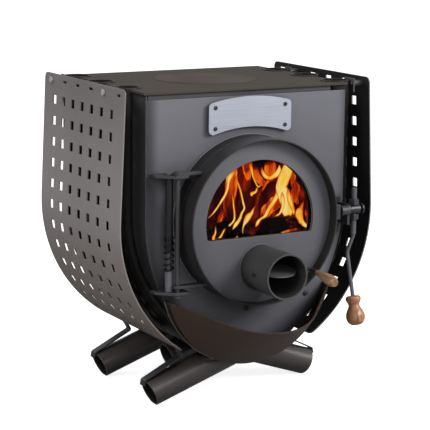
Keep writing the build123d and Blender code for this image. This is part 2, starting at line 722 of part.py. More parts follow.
arm_end = (DAMPER_ARM_X, KNOB_BACK_Y - KNOB_SOCKET + 2 * SEAM, PIPE_Z - DAMPER_ARM_DROP)
arm_corner = (DAMPER_ARM_X, DAMPER_Y, PIPE_Z)
rod_path = FilletPolyline((DAMPER_ROD_LEFT_X, DAMPER_Y, PIPE_Z), arm_corner, arm_end, radius=DAMPER_BEND_R)
rod_plane = Plane(origin=(DAMPER_ROD_LEFT_X, DAMPER_Y, PIPE_Z), z_dir=(1, 0, 0))
damper_rod = sweep(rod_plane * Circle(DAMPER_ROD_R), rod_path)
damper_axis = Pos(0, DAMPER_Y, PIPE_Z) * Rot(DAMPER_DROOP, 0, 0)
plate_low = DAMPER_ROD_R + FIT
plate_high = plate_low + DAMPER_SHEET
damper_plate = rod_z(DAMPER_R, 0, 0, plate_low, plate_high)
damper_screws = []
for sx in (-DAMPER_SCREW_X, DAMPER_SCREW_X):
    damper_plate -= rod_z(DAMPER_SCREW_R + FIT, sx, 0, plate_low - 1, plate_high + 1)
    damper_rod -= damper_axis * rod_z(DAMPER_SCREW_R + FIT, sx, 0, -DAMPER_ROD_R - 1, DAMPER_ROD_R + 1)
    head = rod_z(2 * DAMPER_SCREW_R, sx, 0, plate_high + FIT, plate_high + FIT + DAMPER_SHEET)
    damper_screws.append(head + rod_z(DAMPER_SCREW_R, sx, 0, -DAMPER_ROD_R, plate_high + 1))
parts["damper_plate"] = damper_axis * damper_plate
parts["damper_screws"] = damper_axis * as_one(damper_screws)
parts["damper_shaft"] = damper_rod

arm_angle = math.atan2(DAMPER_ARM_DROP, DAMPER_Y - arm_end[1])
arm_dir = Vector(0, -math.cos(arm_angle), -math.sin(arm_angle))
knob_len = KNOB_BACK_Y - KNOB_FRONT_Y
knob_start = (
    DAMPER_ARM_X,
    KNOB_BACK_Y,
    PIPE_Z - (DAMPER_Y - KNOB_BACK_Y) * math.tan(arm_angle),
)
knob_plane = Plane(origin=knob_start, x_dir=(1, 0, 0), z_dir=arm_dir)
knob_reach = knob_len / math.cos(arm_angle) - KNOB_END_R * math.tan(arm_angle)
knob_outline = make_face(
    [
        Line((0, 0), (KNOB_SMALL_R, 0)),
        Spline(
            (KNOB_SMALL_R, 0),
            (KNOB_WAIST_R, knob_reach * KNOB_WAIST_AT),
            (KNOB_LARGE_R, knob_reach * KNOB_LARGE_AT),
            (KNOB_END_R, knob_reach),
        ),
        Line((KNOB_END_R, knob_reach), (0, knob_reach)),
        Line((0, knob_reach), (0, 0)),
    ]
)
knob = revolve(Plane.XZ * knob_outline, axis=Axis.Z)
knob -= rod_z(DAMPER_ROD_R + FIT, 0, 0, -1, KNOB_SOCKET)
parts["damper_knob"] = knob_plane * knob


# Hinge lugs on the stove, pin, nut and the spring column beside the pin


def body_lug(z0):
    """Flat lug that carries the pin and the spring bolt."""
    outline = Polyline(
        (PIN_X - LUG_LEFT, FRONT_Y),
        (PIN_X - LUG_LEFT, (FRONT_Y + PIN_Y) / 2),
        (PIN_X - DOOR_LUG_R, PIN_Y - DOOR_LUG_R),
        (PIN_X + LUG_RIGHT, PIN_Y - DOOR_LUG_R),
        (PIN_X + LUG_RIGHT, FRONT_Y),
        close=True,
    )
    face = make_face(outline)
    front = [v for v in face.vertices() if v.Y < FRONT_Y - 1]
    face = fillet(front, LUG_CORNER_R)
    lug = Pos(0, 0, z0) * extrude(face, LUG_SHEET, dir=(0, 0, 1))
    lug -= rod_z(PIN_R + FIT, PIN_X, PIN_Y, z0 - 1, z0 + LUG_SHEET + 1)
    lug -= rod_z(SPRING_BOLT_R + FIT, SPRING_BOLT_X, SPRING_BOLT_Y, z0 - 1, z0 + LUG_SHEET + 1)
    return lug


def door_lug(z0):
    """Flat lug from the pin to the door drum."""
    eye = rod_z(DOOR_LUG_R, PIN_X, PIN_Y, z0, z0 + LUG_SHEET)
    level = max(abs(z0 - DOOR_Z), abs(z0 + LUG_SHEET - DOOR_Z))
    drum_x = -math.sqrt(DOOR_R**2 - level**2)
    arm = box(PIN_X, drum_x, PIN_Y - DOOR_LUG_R, DRUM_BACK_Y - FIT, z0, z0 + LUG_SHEET)
    lug = eye + arm - rod_y(DOOR_R + FIT, 0, DRUM_FRONT_Y - 1, 0, DOOR_Z)
    return lug - rod_z(PIN_R + FIT, PIN_X, PIN_Y, z0 - 1, z0 + LUG_SHEET + 1)


parts["hinge_lugs"] = as_one([body_lug(UPPER_LUG_Z), body_lug(LOWER_LUG_Z)])
parts["door_lugs"] = as_one([door_lug(UPPER_DOOR_LUG_Z), door_lug(LOWER_DOOR_LUG_Z)])

pin_head_z = UPPER_DOOR_LUG_Z + LUG_SHEET + SLIDE
hinge_pin = rod_z(PIN_R, PIN_X, PIN_Y, LOWER_LUG_Z - NUT_H, pin_head_z)
pin_head = rod_z(PIN_HEAD_R, PIN_X, PIN_Y, pin_head_z, pin_head_z + PIN_HEAD_T)
hinge_pin += fillet(pin_head.edges().sort_by(Axis.Z)[-1], PIN_HEAD_T / 2)
parts["hinge_pin"] = hinge_pin
nut = hex_z(NUT_AF, PIN_X, PIN_Y, LOWER_LUG_Z - FIT - NUT_H, LOWER_LUG_Z - FIT)
parts["hinge_nut"] = nut - rod_z(PIN_R + FIT, PIN_X, PIN_Y, 0, LOWER_LUG_Z)

spring_bolt_top = UPPER_LUG_Z + LUG_SHEET + FIT
spring_bolt_low = LOWER_LUG_Z - SPRING_BOLT_END
bolt_head_top = spring_bolt_top + SPRING_BOLT_HEAD_T
spring_bolt = rod_z(SPRING_BOLT_R, SPRING_BOLT_X, SPRING_BOLT_Y, spring_bolt_low, spring_bolt_top + 1)
spring_bolt += hex_z(NUT_AF, SPRING_BOLT_X, SPRING_BOLT_Y, spring_bolt_top, bolt_head_top)
parts["spring_bolt"] = spring_bolt


def column_sleeve(z0, z1):
    sleeve = rod_z(COLUMN_R, SPRING_BOLT_X, SPRING_BOLT_Y, z0, z1)
    return sleeve - rod_z(SPRING_BOLT_R + FIT, SPRING_BOLT_X, SPRING_BOLT_Y, z0 - 1, z1 + 1)


parts["spring_sleeves"] = as_one(
    [
        column_sleeve(SPRING_TOP_Z, UPPER_LUG_Z - FIT),
        column_sleeve(LOWER_LUG_Z + LUG_SHEET + FIT, SPRING_Z),
    ]
)


# Coil spring: quarter turns of a helix, each a pair of arcs with a common tangent


def biarc(p1, t1, p2, t2):
    """Two arcs from p1 with tangent t1 to p2 with tangent t2."""
    v = p2 - p1
    t = t1 + t2
    k = 2 * (1 - t1.dot(t2))
    d = (-v.dot(t) + math.sqrt(v.dot(t) ** 2 + k * v.dot(v))) / k
    joint = (p1 + p2 + (t1 - t2) * d) * 0.5
    middle = ((p2 - t2 * d) - (p1 + t1 * d)).normalized()
    return [Edge.make_tangent_arc(p1, t1, joint), Edge.make_tangent_arc(joint, middle, p2)]


def helix_point(turn, pitch):
    a = 2 * math.pi * turn
    return Vector(SPRING_MEAN_R * math.cos(a), SPRING_MEAN_R * math.sin(a), pitch * turn)


def helix_tangent(turn, pitch):
    a = 2 * math.pi * turn
    rise = pitch / (2 * math.pi)
    return Vector(-SPRING_MEAN_R * math.sin(a), SPRING_MEAN_R * math.cos(a), rise).normalized()


spring_height = SPRING_TOP_Z - SPRING_Z - SPRING_WIRE - 2 * SLIDE
spring_pitch = (spring_height - 2 * SPRING_SEAT) / SPRING_TURNS
quarters = int(SPRING_TURNS * 4)
spring_edges = []
for q in range(quarters):
    a, b = q / 4, (q + 1) / 4
    spring_edges += biarc(
        helix_point(a, spring_pitch), helix_tangent(a, spring_pitch),
        helix_point(b, spring_pitch), helix_tangent(b, spring_pitch),
    )
first, first_dir = helix_point(0, spring_pitch), helix_tangent(0, spring_pitch)
last, last_dir = helix_point(SPRING_TURNS, spring_pitch), helix_tangent(SPRING_TURNS, spring_pitch)
tail_start = first - first_dir * SPRING_WIRE
tail_end = last + last_dir * SPRING_WIRE
spring_path = Wire([Line(tail_start, first)] + spring_edges + [Line(last, tail_end)])
spring = sweep(Plane(origin=tail_start, z_dir=first_dir) * Circle(SPRING_WIRE / 2), spring_path)
spring_base_z = SPRING_Z + SPRING_WIRE / 2 + SLIDE + SPRING_SEAT
parts["hinge_spring"] = Pos(SPRING_BOLT_X, SPRING_BOLT_Y, spring_base_z) * spring

steps_per_turn = 24
step_count = int(SPRING_TURNS * steps_per_turn)
samples = [helix_point(n / steps_per_turn, spring_pitch) for n in range(step_count + 1)]
least = min(
    (samples[m] - samples[n]).length
    for n in range(len(samples))
    for m in range(n + steps_per_turn // 2, len(samples))
)
print(f"spring: least gap of the wire to itself {least - SPRING_WIRE:.2f} mm")


# Latch: bracket on the front plate, shaft with hub, lever, nuts and turned grip

bracket = box(
    LATCH_BASE_X, LATCH_BASE_RIGHT_X, FRONT_Y - FIT - LATCH_BASE_SHEET, FRONT_Y - FIT,
    LATCH_BASE_Z, LATCH_BASE_Z + LATCH_BASE_H,
)
cheek_low = LATCH_Z - CHEEK_DROP
cheek = box(LATCH_CHEEK_X, LATCH_BASE_RIGHT_X, LATCH_Y, FRONT_Y - FIT, cheek_low, LATCH_Z + CHEEK_R)
cheek += box(LATCH_CHEEK_X, LATCH_BASE_RIGHT_X, LATCH_Y - CHEEK_R / 2, LATCH_Y, cheek_low, LATCH_Z)
cheek += rod_x(CHEEK_R, LATCH_CHEEK_X, LATCH_BASE_RIGHT_X, LATCH_Y, LATCH_Z)
bracket += cheek
bracket -= rod_x(LATCH_SHAFT_R + FIT, LATCH_CHEEK_X - 1, LATCH_BASE_RIGHT_X + 1, LATCH_Y, LATCH_Z)
parts["latch_bracket"] = bracket

cam_x0 = LATCH_BASE_X + CAM_LEFT
shaft_left_x = cam_x0 - SEAM
hub_left_x = HUB_X - HUB_HALF_W
hub_right_x = HUB_X + HUB_HALF_W
shaft_head_x = hub_right_x + HEAD_GAP
latch_shaft = rod_x(LATCH_SHAFT_R, shaft_left_x, shaft_head_x, LATCH_Y, LATCH_Z)
latch_shaft += rod_x(HUB_R, hub_left_x, hub_right_x, LATCH_Y, LATCH_Z)
latch_head = rod_x(HEAD_R, shaft_head_x, shaft_head_x + HEAD_T, LATCH_Y, LATCH_Z)
latch_shaft += fillet(latch_head.edges().filter_by(GeomType.CIRCLE), HEAD_T / 4)
latch_shaft -= rod_z(STEM_R + FIT, HUB_X, LATCH_Y, LATCH_Z - HUB_R - 1, LATCH_Z + HUB_R + 1)
parts["latch_shaft"] = latch_shaft

cam_x1 = LATCH_CHEEK_X - SEAM
cam = rod_x(HUB_R, cam_x0, cam_x1, LATCH_Y - CAM_THROW, LATCH_Z)
parts["latch_cam"] = cam - rod_x(LATCH_SHAFT_R + FIT, cam_x0 - 1, cam_x1 + 1, LATCH_Y, LATCH_Z)

washer = rod_x(WASHER_R, LATCH_BASE_RIGHT_X + SLIDE, hub_left_x - FIT, LATCH_Y, LATCH_Z)
parts["latch_washer"] = washer - rod_x(LATCH_SHAFT_R + FIT, LATCH_CHEEK_X, HUB_X, LATCH_Y, LATCH_Z)

stem = rod_z(STEM_R, HUB_X, LATCH_Y, STEM_LOW_Z, STEM_TOP_Z)
stem = chamfer(stem.edges().filter_by(GeomType.CIRCLE), STEM_R - LEVER_ROD_R - FIT)
lever_start = (HUB_X, LATCH_Y, STEM_LOW_Z + LEVER_NECK)
lever_bend = (HUB_X, LATCH_Y, STEM_LOW_Z - LEVER_NECK / 3)
knee = Vector(HUB_X - LEVER_KNEE_IN, LEVER_KNEE_Y, LEVER_KNEE_Z)
lever_end = Vector(HUB_X - LEVER_END_IN, LEVER_END_Y, LEVER_END_Z)
lever_dir = (lever_end - knee).normalized()
rod_end = lever_end + lever_dir * (GRIP_SOCKET - 1)
lever_path = FilletPolyline(lever_start, lever_bend, tuple(knee), tuple(rod_end), radius=LEVER_BEND_R)
lever_plane = Plane(origin=lever_start, z_dir=Vector(*lever_bend) - Vector(*lever_start))
lever_rod = sweep(lever_plane * Circle(LEVER_ROD_R), lever_path)
parts["latch_rod"] = stem + lever_rod

hub_top = LATCH_Z + HUB_R
hub_low = LATCH_Z - HUB_R
nuts = [
    hex_z(LATCH_NUT_AF, HUB_X, LATCH_Y, hub_top + FIT, hub_top + FIT + LATCH_NUT_H),
    hex_z(LATCH_NUT_AF, HUB_X, LATCH_Y, hub_low - FIT - LATCH_NUT_H, hub_low - FIT),
]
stem_hole = rod_z(STEM_R + FIT, HUB_X, LATCH_Y, STEM_LOW_Z, STEM_TOP_Z)
parts["latch_nuts"] = as_one([n - stem_hole for n in nuts])

grip_outline = make_face(
    [
        Line((0, 0), (GRIP_TOP_R, 0)),
        Spline((GRIP_TOP_R, 0), *GRIP_BELLY, (GRIP_END_R, GRIP_LEN)),
        Line((GRIP_END_R, GRIP_LEN), (0, GRIP_LEN)),
        Line((0, GRIP_LEN), (0, 0)),
    ]
)
grip = revolve(Plane.XZ * grip_outline, axis=Axis.Z)
grip -= rod_z(LEVER_ROD_R + FIT, 0, 0, -1, GRIP_SOCKET)
parts["latch_grip"] = Plane(origin=lever_end, x_dir=(1, 0, 0), z_dir=lever_dir) * grip

tongue_right_x = LATCH_BASE_X - 2 * SEAM
tongue = box(
    DOOR_R - 2 * TONGUE_SHEET, tongue_right_x, TONGUE_Y, TONGUE_Y + TONGUE_SHEET,
    LATCH_Z - TONGUE_H / 2, LATCH_Z + TONGUE_H / 2,
)
parts["latch_tongue"] = tongue - rod_y(DOOR_R + FIT, 0, DRUM_FRONT_Y - 1, 0, DOOR_Z)


# Ash lip: a rolled band on the front plate and a ruled sheet that rises to the rim

lip_front_y = FRONT_Y - LIP_BAND
lip_low = -math.pi / 2 - LIP_HALF_ANGLE
lip_high = -math.pi / 2 + LIP_HALF_ANGLE
band = slab_y(band_face(0, LIP_Z, LIP_R, LIP_R - LIP_SHEET, lip_low, lip_high), lip_front_y, FRONT_Y)


def on_plane_y(y, arc):
    """Arc drawn in X and Z moved to a plane of constant Y."""
    points = [arc @ 0, arc @ 0.5, arc @ 1]
    return ThreePointArc(*[(p.X, y, p.Y) for p in points])


def lip_base_arcs(radius):
    """Three arcs along the front edge of the band, from left to right."""
    angles = [lip_low, -math.pi / 2 - LIP_SPLIT_ANGLE, -math.pi / 2 + LIP_SPLIT_ANGLE, lip_high]
    return [on_plane_y(lip_front_y, arc_about(0, LIP_Z, radius, a, b)) for a, b in zip(angles, angles[1:])]


def rim_height(y):
    """Rim plane: it falls from the sides to the tip."""
    return RIM_SIDE_Z + (RIM_TIP_Z - RIM_SIDE_Z) * (RIM_SIDE_Y - y) / (RIM_SIDE_Y - RIM_TIP_Y)


def rim_edges(inset):
    """Side run, rounded tip and side run of the rim, moved inwards by inset."""
    run = math.hypot(RIM_SIDE_X - RIM_BEND_X, RIM_SIDE_Y - RIM_BEND_Y)
    nx = -(RIM_SIDE_Y - RIM_BEND_Y) / run * inset
    ny = (RIM_SIDE_X - RIM_BEND_X) / run * inset
    plan = [
        (-RIM_SIDE_X - nx, RIM_SIDE_Y + ny),
        (-RIM_BEND_X - nx, RIM_BEND_Y + ny),
        (0, RIM_TIP_Y + inset),
        (RIM_BEND_X + nx, RIM_BEND_Y + ny),
        (RIM_SIDE_X + nx, RIM_SIDE_Y + ny),
    ]
    pts = [(x, y, rim_height(y)) for x, y in plan]
    return [Line(pts[0], pts[1]), ThreePointArc(pts[1], pts[2], pts[3]), Line(pts[3], pts[4])]


def closed_strip(outside, inside):
    """Closed wire from two open runs of edges."""
    right = Line(outside[-1] @ 1, inside[-1] @ 1)
    left = Line(inside[0] @ 0, outside[0] @ 0)
    return Face(Wire(outside + [right] + inside + [left]))


base_strip = closed_strip(lip_base_arcs(LIP_R), lip_base_arcs(LIP_R - LIP_SHEET))
rim_strip = closed_strip(rim_edges(0), rim_edges(LIP_SHEET))
visor = loft([base_strip, rim_strip], ruled=True)
parts["ash_lip"] = band + visor


# Nameplate on four riveted spacers


def nameplate_face():
    """Banner with arched top and bottom edges."""
    top = ThreePointArc(
        (-NAME_HALF_W, NAME_SIDE_TOP_Z), (0, NAME_SIDE_TOP_Z + NAME_TOP_ARCH), (NAME_HALF_W, NAME_SIDE_TOP_Z)
    )
    low = ThreePointArc(
        (NAME_HALF_W, NAME_SIDE_LOW_Z), (0, NAME_SIDE_LOW_Z + NAME_LOW_ARCH), (-NAME_HALF_W, NAME_SIDE_LOW_Z)
    )
    face = make_face([top, Line(top @ 1, low @ 0), low, Line(low @ 1, top @ 0)])
    return fillet(face.vertices(), NAME_CORNER_R)


name_back_y = FRONT_Y - NAME_STANDOFF
name_front_y = name_back_y - NAME_SHEET
nameplate = slab_y(nameplate_face(), name_front_y, name_back_y)
rivets = []
for x in (-NAME_RIVET_X, NAME_RIVET_X):
    lift_low = NAME_LOW_ARCH * (1 - (x / NAME_HALF_W) ** 2)
    lift_top = NAME_TOP_ARCH * (1 - (x / NAME_HALF_W) ** 2)
    for z in (NAME_SIDE_LOW_Z + lift_low + NAME_RIVET_INSET, NAME_SIDE_TOP_Z + lift_top - NAME_RIVET_INSET):
        nameplate -= rod_y(RIVET_R + FIT, x, name_front_y - 1, name_back_y + 1, z)
        head = rod_y(RIVET_HEAD_R, x, name_front_y - FIT - RIVET_HEAD_T, name_front_y - FIT, z)
        head = fillet(head.edges().sort_by(Axis.Y)[0], RIVET_HEAD_T / 1.5)
        shank = rod_y(RIVET_R, x, name_front_y - 1, FRONT_Y - FIT, z)
        spacer = rod_y(RIVET_SPACER_R, x, name_back_y + FIT, FRONT_Y - FIT, z)
        rivets.append(head + shank + spacer)
parts["nameplate"] = nameplate
parts["nameplate_rivets"] = as_one(rivets)


# Perforated side screens


def screen_point(s, depth):
    """Point on the screen at a length s from its top edge, depth inside its outer face."""
    if s < SCREEN_STRAIGHT:
        x = SCREEN_TOP_X + s * math.sin(SCREEN_FLARE) - depth * math.cos(SCREEN_FLARE)
        z = SCREEN_TOP_Z - s * math.cos(SCREEN_FLARE) - depth * math.sin(SCREEN_FLARE)
        return x, z, SCREEN_FLARE
    turn = SCREEN_FLARE - (s - SCREEN_STRAIGHT) / SCREEN_ARC_R
    radius = SCREEN_ARC_R - depth
    return SCREEN_ARC_X + radius * math.cos(turn), SCREEN_ARC_Z + radius * math.sin(turn), turn


def screen_blank():
    """Bent sheet of the right screen, without its holes."""
    arc_end = SCREEN_FLARE - SCREEN_TURN
    edges = []
    for depth in (0, SCREEN_SHEET):
        radius = SCREEN_ARC_R - depth
        arc = arc_about(SCREEN_ARC_X, SCREEN_ARC_Z, radius, SCREEN_FLARE, arc_end)
        top_x, top_z, _ = screen_point(0, depth)
        edges.append([Line((top_x, top_z), arc @ 0), arc])
    outside, inside = edges
    low_edge = Line(outside[1] @ 1, inside[1] @ 1)
    top_edge = Line(inside[0] @ 0, outside[0] @ 0)
    outline = outside + [low_edge] + inside[::-1] + [top_edge]
    sheet = slab_y(make_face(outline), SCREEN_FRONT_Y, SCREEN_REAR_Y)
    corners = sheet.edges().filter_by(lambda e: abs(e.length - SCREEN_SHEET) < 0.01)
    return fillet(corners, SCREEN_CORNER_R)


def screen_cutters(bolt_slots):
    """Rectangular holes in rows and columns, with slots and bolt holes along the top."""
    cutters = []
    for row in range(HOLE_ROWS):
        x, z, turn = screen_point(HOLE_FIRST_S + row * HOLE_PITCH_S, SCREEN_SHEET / 2)
        for column in range(HOLE_COLUMNS):
            y = HOLE_FRONT_Y + column * HOLE_PITCH_Y
            place = Pos(x, y, z) * Rot(0, -math.degrees(turn), 0)
            cutters.append(place * Box(4 * SCREEN_SHEET, HOLE_W, HOLE_H))
    x = screen_point(SCREEN_TOP_Z - SLOT_Z, SCREEN_SHEET / 2)[0]
    for k in range(SLOT_COUNT):
        y = SLOT_FRONT_Y + k * SLOT_PITCH
        if k in bolt_slots:
            cutters.append(rod_x(BOLT_HOLE_R, x - 4 * SCREEN_SHEET, x + 4 * SCREEN_SHEET, y, SLOT_Z))
        else:
            cutters.append(Pos(x, y, SLOT_Z) * Box(8 * SCREEN_SHEET, SLOT_LEN, SLOT_H))
    return cutters


brackets = []
screen_bolts = []
for side in (-1, 1):
    screen = screen_blank() - screen_cutters(BOLT_SLOTS[side])
    parts[f"screen_{SIDE_NAME[side]}"] = screen if side > 0 else mirror(screen, about=Plane.YZ)
    face_x = screen_point(SCREEN_TOP_Z - SLOT_Z, 0)[0]
    inner_x = screen_point(SCREEN_TOP_Z - SLOT_Z, SCREEN_SHEET)[0]
    bracket_x = TUBE_X + TUBE_R + FIT
    bracket_out = bracket_x + BRACKET_SHEET
    lean_gap = SPACER_R * math.sin(SCREEN_FLARE) + FIT
    for k in BOLT_SLOTS[side]:
        y = SLOT_FRONT_Y + k * SLOT_PITCH
        tube_y = min((t for s, t in zip(TUBE_SIDE, TUBE_Y) if s == side), key=lambda t: abs(t - y))
        y0 = min(y, tube_y) - BRACKET_LAP
        y1 = max(y, tube_y) + BRACKET_LAP
        tab = box(side * bracket_x, side * bracket_out, y0, y1, SLOT_Z - BRACKET_DROP, SLOT_Z + BRACKET_RISE)
        tab += rod_x(SPACER_R, side * bracket_x, side * (inner_x - lean_gap), y, SLOT_Z)
        brackets.append(tab - rod_x(SCREEN_BOLT_R + FIT, side * (bracket_x - 1), side * face_x, y, SLOT_Z))
        head_x = face_x + lean_gap
        bolt = rod_x(SCREEN_BOLT_R, side * (bracket_x + FIT), side * (head_x + 1), y, SLOT_Z)
        head = rod_x(SPACER_R, side * head_x, side * (head_x + SCREEN_HEAD_T), y, SLOT_Z)
        screen_bolts.append(bolt + head)
parts["screen_brackets"] = as_one(brackets)
parts["screen_bolts"] = as_one(screen_bolts)


# Spring clips from the lower edge of each screen to the end of the foot below it


def screen_clip(side, y):
    """Bent strip: along the inside of the screen, folded, then over the rim of the foot."""
    total = SCREEN_STRAIGHT + SCREEN_ARC_R * SCREEN_TURN
    depth = SCREEN_SHEET + SLIDE + CLIP_STRIP_T / 2
    u0, z0, _ = screen_point(total - CLIP_LAP, depth)
    u1, z1, _ = screen_point(total + CLIP_STRIP_T, depth)
    angle = FOOT_SLOPE + FOOT_END_LEAN
    rim_u = FOOT_REACH + TUBE_R * math.sin(angle) / math.cos(FOOT_END_LEAN)
    rim_z = FOOT_LINE_Z - rim_u * math.tan(FOOT_SLOPE) + TUBE_R / math.cos(FOOT_SLOPE)
    over_u = rim_u + CLIP_OUT
    over_z = rim_z + CLIP_STRIP_T / 2 + FIT
    points = [
        (side * u0, y, z0),
        (side * u1, y, z1),
        (side * CLIP_FOLD[0], y, CLIP_FOLD[1]),
        (side * over_u, y, over_z),
        (side * (over_u + CLIP_KICK), y, over_z - CLIP_HOOK),
    ]
    path = FilletPolyline(*points, radius=CLIP_BENDS)
    start_dir = Vector(*points[1]) - Vector(*points[0])
    start_plane = Plane(origin=points[0], x_dir=(0, 1, 0), z_dir=start_dir)
    return sweep(start_plane * Rectangle(CLIP_STRIP_W, CLIP_STRIP_T), path)


parts["screen_clips"] = as_one(
    [screen_clip(-TUBE_SIDE[i], TUBE_Y[i]) for i in range(TUBE_COUNT) if i // 2 != 1]
)


os.makedirs("parts", exist_ok=True)
for name, shape in parts.items():
    solids = shape.solids()
    body = solids[0] if len(solids) == 1 else Compound(children=list(solids))
    export_step(body, f"parts/{name}.step")
print(f"{len(parts)} nodes written")
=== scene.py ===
import math
import random

import bpy
from mathutils import Matrix, Vector, noise


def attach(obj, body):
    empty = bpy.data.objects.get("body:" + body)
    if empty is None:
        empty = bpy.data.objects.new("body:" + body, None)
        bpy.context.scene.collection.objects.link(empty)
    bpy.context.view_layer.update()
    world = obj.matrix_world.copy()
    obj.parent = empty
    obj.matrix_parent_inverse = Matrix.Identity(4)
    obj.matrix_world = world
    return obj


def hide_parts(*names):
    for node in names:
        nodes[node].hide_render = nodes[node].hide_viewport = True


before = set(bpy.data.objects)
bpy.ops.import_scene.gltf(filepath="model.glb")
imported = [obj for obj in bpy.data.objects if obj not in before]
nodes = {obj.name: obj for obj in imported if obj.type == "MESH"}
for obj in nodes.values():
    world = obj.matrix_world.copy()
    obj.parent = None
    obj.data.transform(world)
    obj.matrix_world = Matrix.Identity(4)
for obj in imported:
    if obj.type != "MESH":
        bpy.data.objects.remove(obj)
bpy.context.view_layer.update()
random.seed(11)
MM = 0.001
FULL_TURN = 2 * math.pi

# Places on the stove, in millimetres in the part's own frame
DOOR_R, DOOR_Z = 165.0, 369.0
FACE_Y = -152.5
FRONT_Y = -100.0
REAR_Y = 252.7
PIPE_R, PIPE_Z = 45.0, 277.5
LIP_R, LIP_Z = 189.4, 262.9
FLUE_R, FLUE_Z = 60.0, 520.0
HOB_Y = 76.35
BEND_X, BEND_Z, BEND_R = 114.0, 379.5, 340.0
SPRING_BOLT = (-188.0, -125.5)
GRIP_TOP, GRIP_RUN = (228.0, -144.0, 192.0), (0.04, -0.22, -0.97)
KNOB_END, KNOB_RUN = (81.0, -233.5, 274.7), (0.0, -1.0, -0.1)


# Camera at the photograph's place and angle

CAMERA = Vector((-1657.0, -2915.4, 998.5))
YAW, PITCH, ROLL = (math.radians(angle) for angle in (29.365, 10.867, 0.603))
camera_data = bpy.data.cameras.new("camera")
camera_data.sensor_width = 36.0
camera_data.lens = 140.3
camera_data.clip_start, camera_data.clip_end = 0.05, 50.0
camera = bpy.data.objects.new("camera", camera_data)
bpy.context.scene.collection.objects.link(camera)
camera.matrix_world = (
    Matrix.Translation(CAMERA * MM)
    @ Matrix.Rotation(-YAW, 4, "Z")
    @ Matrix.Rotation(math.pi / 2 - PITCH, 4, "X")
    @ Matrix.Rotation(ROLL, 4, "Z")
)
bpy.context.scene.camera = camera
bpy.context.scene.view_settings.view_transform = "Standard"


# Helpers for materials


def linear(code):
    """Linear colour of an sRGB hex code."""
    parts = [int(code[i:i + 2], 16) / 255 for i in (1, 3, 5)]
    return tuple(((c + 0.055) / 1.055) ** 2.4 if c > 0.04045 else c / 12.92 for c in parts) + (1.0,)


def repeats(size):
    """Scale of a noise or cell pattern whose patches are size millimetres wide."""
    return 1 / (size * MM)


def lines(pitch, per_metre):
    """Scale of a wave pattern whose lines are pitch millimetres apart.

    per_metre is how the pattern counts: 20 for rings and 10 for diagonal bands."""
    return FULL_TURN / (per_metre * pitch * MM)


def add(tree, kind, inputs=None, stops=None, **settings):
    """Adds a shader node with its settings, its input values or links, and its colour stops."""
    node = tree.nodes.new("ShaderNode" + kind)
    for name, value in settings.items():
        setattr(node, name, value)
    for name, value in (inputs or {}).items():
        if isinstance(value, bpy.types.NodeSocket):
            tree.links.new(value, node.inputs[name])
        else:
            node.inputs[name].default_value = value
    for k, (place, colour) in enumerate(stops or ()):
        elements = node.color_ramp.elements
        element = elements[k] if k < 2 else elements.new(place)
        element.position = place
        element.color = linear(colour) if isinstance(colour, str) else (colour, colour, colour, 1.0)
    return node


def new_finish(name, roughness=0.5, metallic=0.0, **sockets):
    """Material with one Principled shader and its plain values."""
    material = bpy.data.materials.new(name)
    material.use_nodes = True
    shader = material.node_tree.nodes["Principled BSDF"]
    shader.inputs["Roughness"].default_value = roughness
    shader.inputs["Metallic"].default_value = metallic
    for socket, value in sockets.items():
        shader.inputs[socket.replace("_", " ")].default_value = value
    return material, material.node_tree, shader


def feed(tree, shader, **sources):
    """Links nodes' first outputs to the shader's inputs."""
    for socket, source in sources.items():
        tree.links.new(source.outputs[0], shader.inputs[socket.replace("_", " ")])


def seen_plainly(tree):
    """1 for rays straight from the camera and for those that come through glass, and 0 for all others."""
    rays = add(tree, "LightPath").outputs
    either = add(tree, "Math", {
        0: rays["Is Camera Ray"], 1: rays["Is Transmission Ray"],
    }, operation="MAXIMUM")
    return either.outputs[0]


# Light: a pale room, the main soft box high in front on the right, and weaker ones in front, left and behind

# Name, place and aim in metres, width and height in metres, watts
SOFT_BOXES = [
    ("key_box", (1.5, -1.9, 1.75), (0, -0.1, 0.4), (1.3, 1.0), 60),
    ("front_box", (-0.6, -3.0, 1.5), (0, -0.1, 0.45), (1.4, 1.2), 16),
    ("left_box", (-2.6, -0.9, 1.6), (0, 0, 0.4), (1.4, 1.4), 26),
    ("back_box", (-1.3, 2.4, 2.4), (0, 0, 0.5), (1.6, 1.6), 30),
]
for name, place, aim, size, watts in SOFT_BOXES:
    lamp = bpy.data.lights.new(name, "AREA")
    lamp.shape, lamp.size, lamp.size_y = "RECTANGLE", size[0], size[1]
    lamp.energy = watts
    box = bpy.data.objects.new(name, lamp)
    bpy.context.scene.collection.objects.link(box)
    box.location = place
    box.rotation_euler = (Vector(aim) - Vector(place)).to_track_quat("-Z", "Y").to_euler()

WHITE = (1, 1, 1, 1)
ROOM_LIGHT = 0.36
world = bpy.data.worlds.new("pale_room")
bpy.context.scene.world = world
world.use_nodes = True
sky = world.node_tree
sky.nodes.clear()
strength = add(sky, "MapRange", {"Value": seen_plainly(sky), "To Min": ROOM_LIGHT, "To Max": 1.0})
room = add(sky, "Background", {"Color": WHITE, "Strength": strength.outputs[0]})
add(sky, "OutputWorld", {"Surface": room.outputs[0]})

FLOOR_SIZE = 40.0
FLOOR_Z = -0.0003
bpy.ops.object.select_all(action="DESELECT")
bpy.ops.mesh.primitive_plane_add(size=FLOOR_SIZE, location=(0, 0, FLOOR_Z))
floor = bpy.context.object
floor.name = "floor"
paper, tree, shader = new_finish("white_paper_floor", 0.9)
tree.nodes.remove(shader)
seen = seen_plainly(tree)
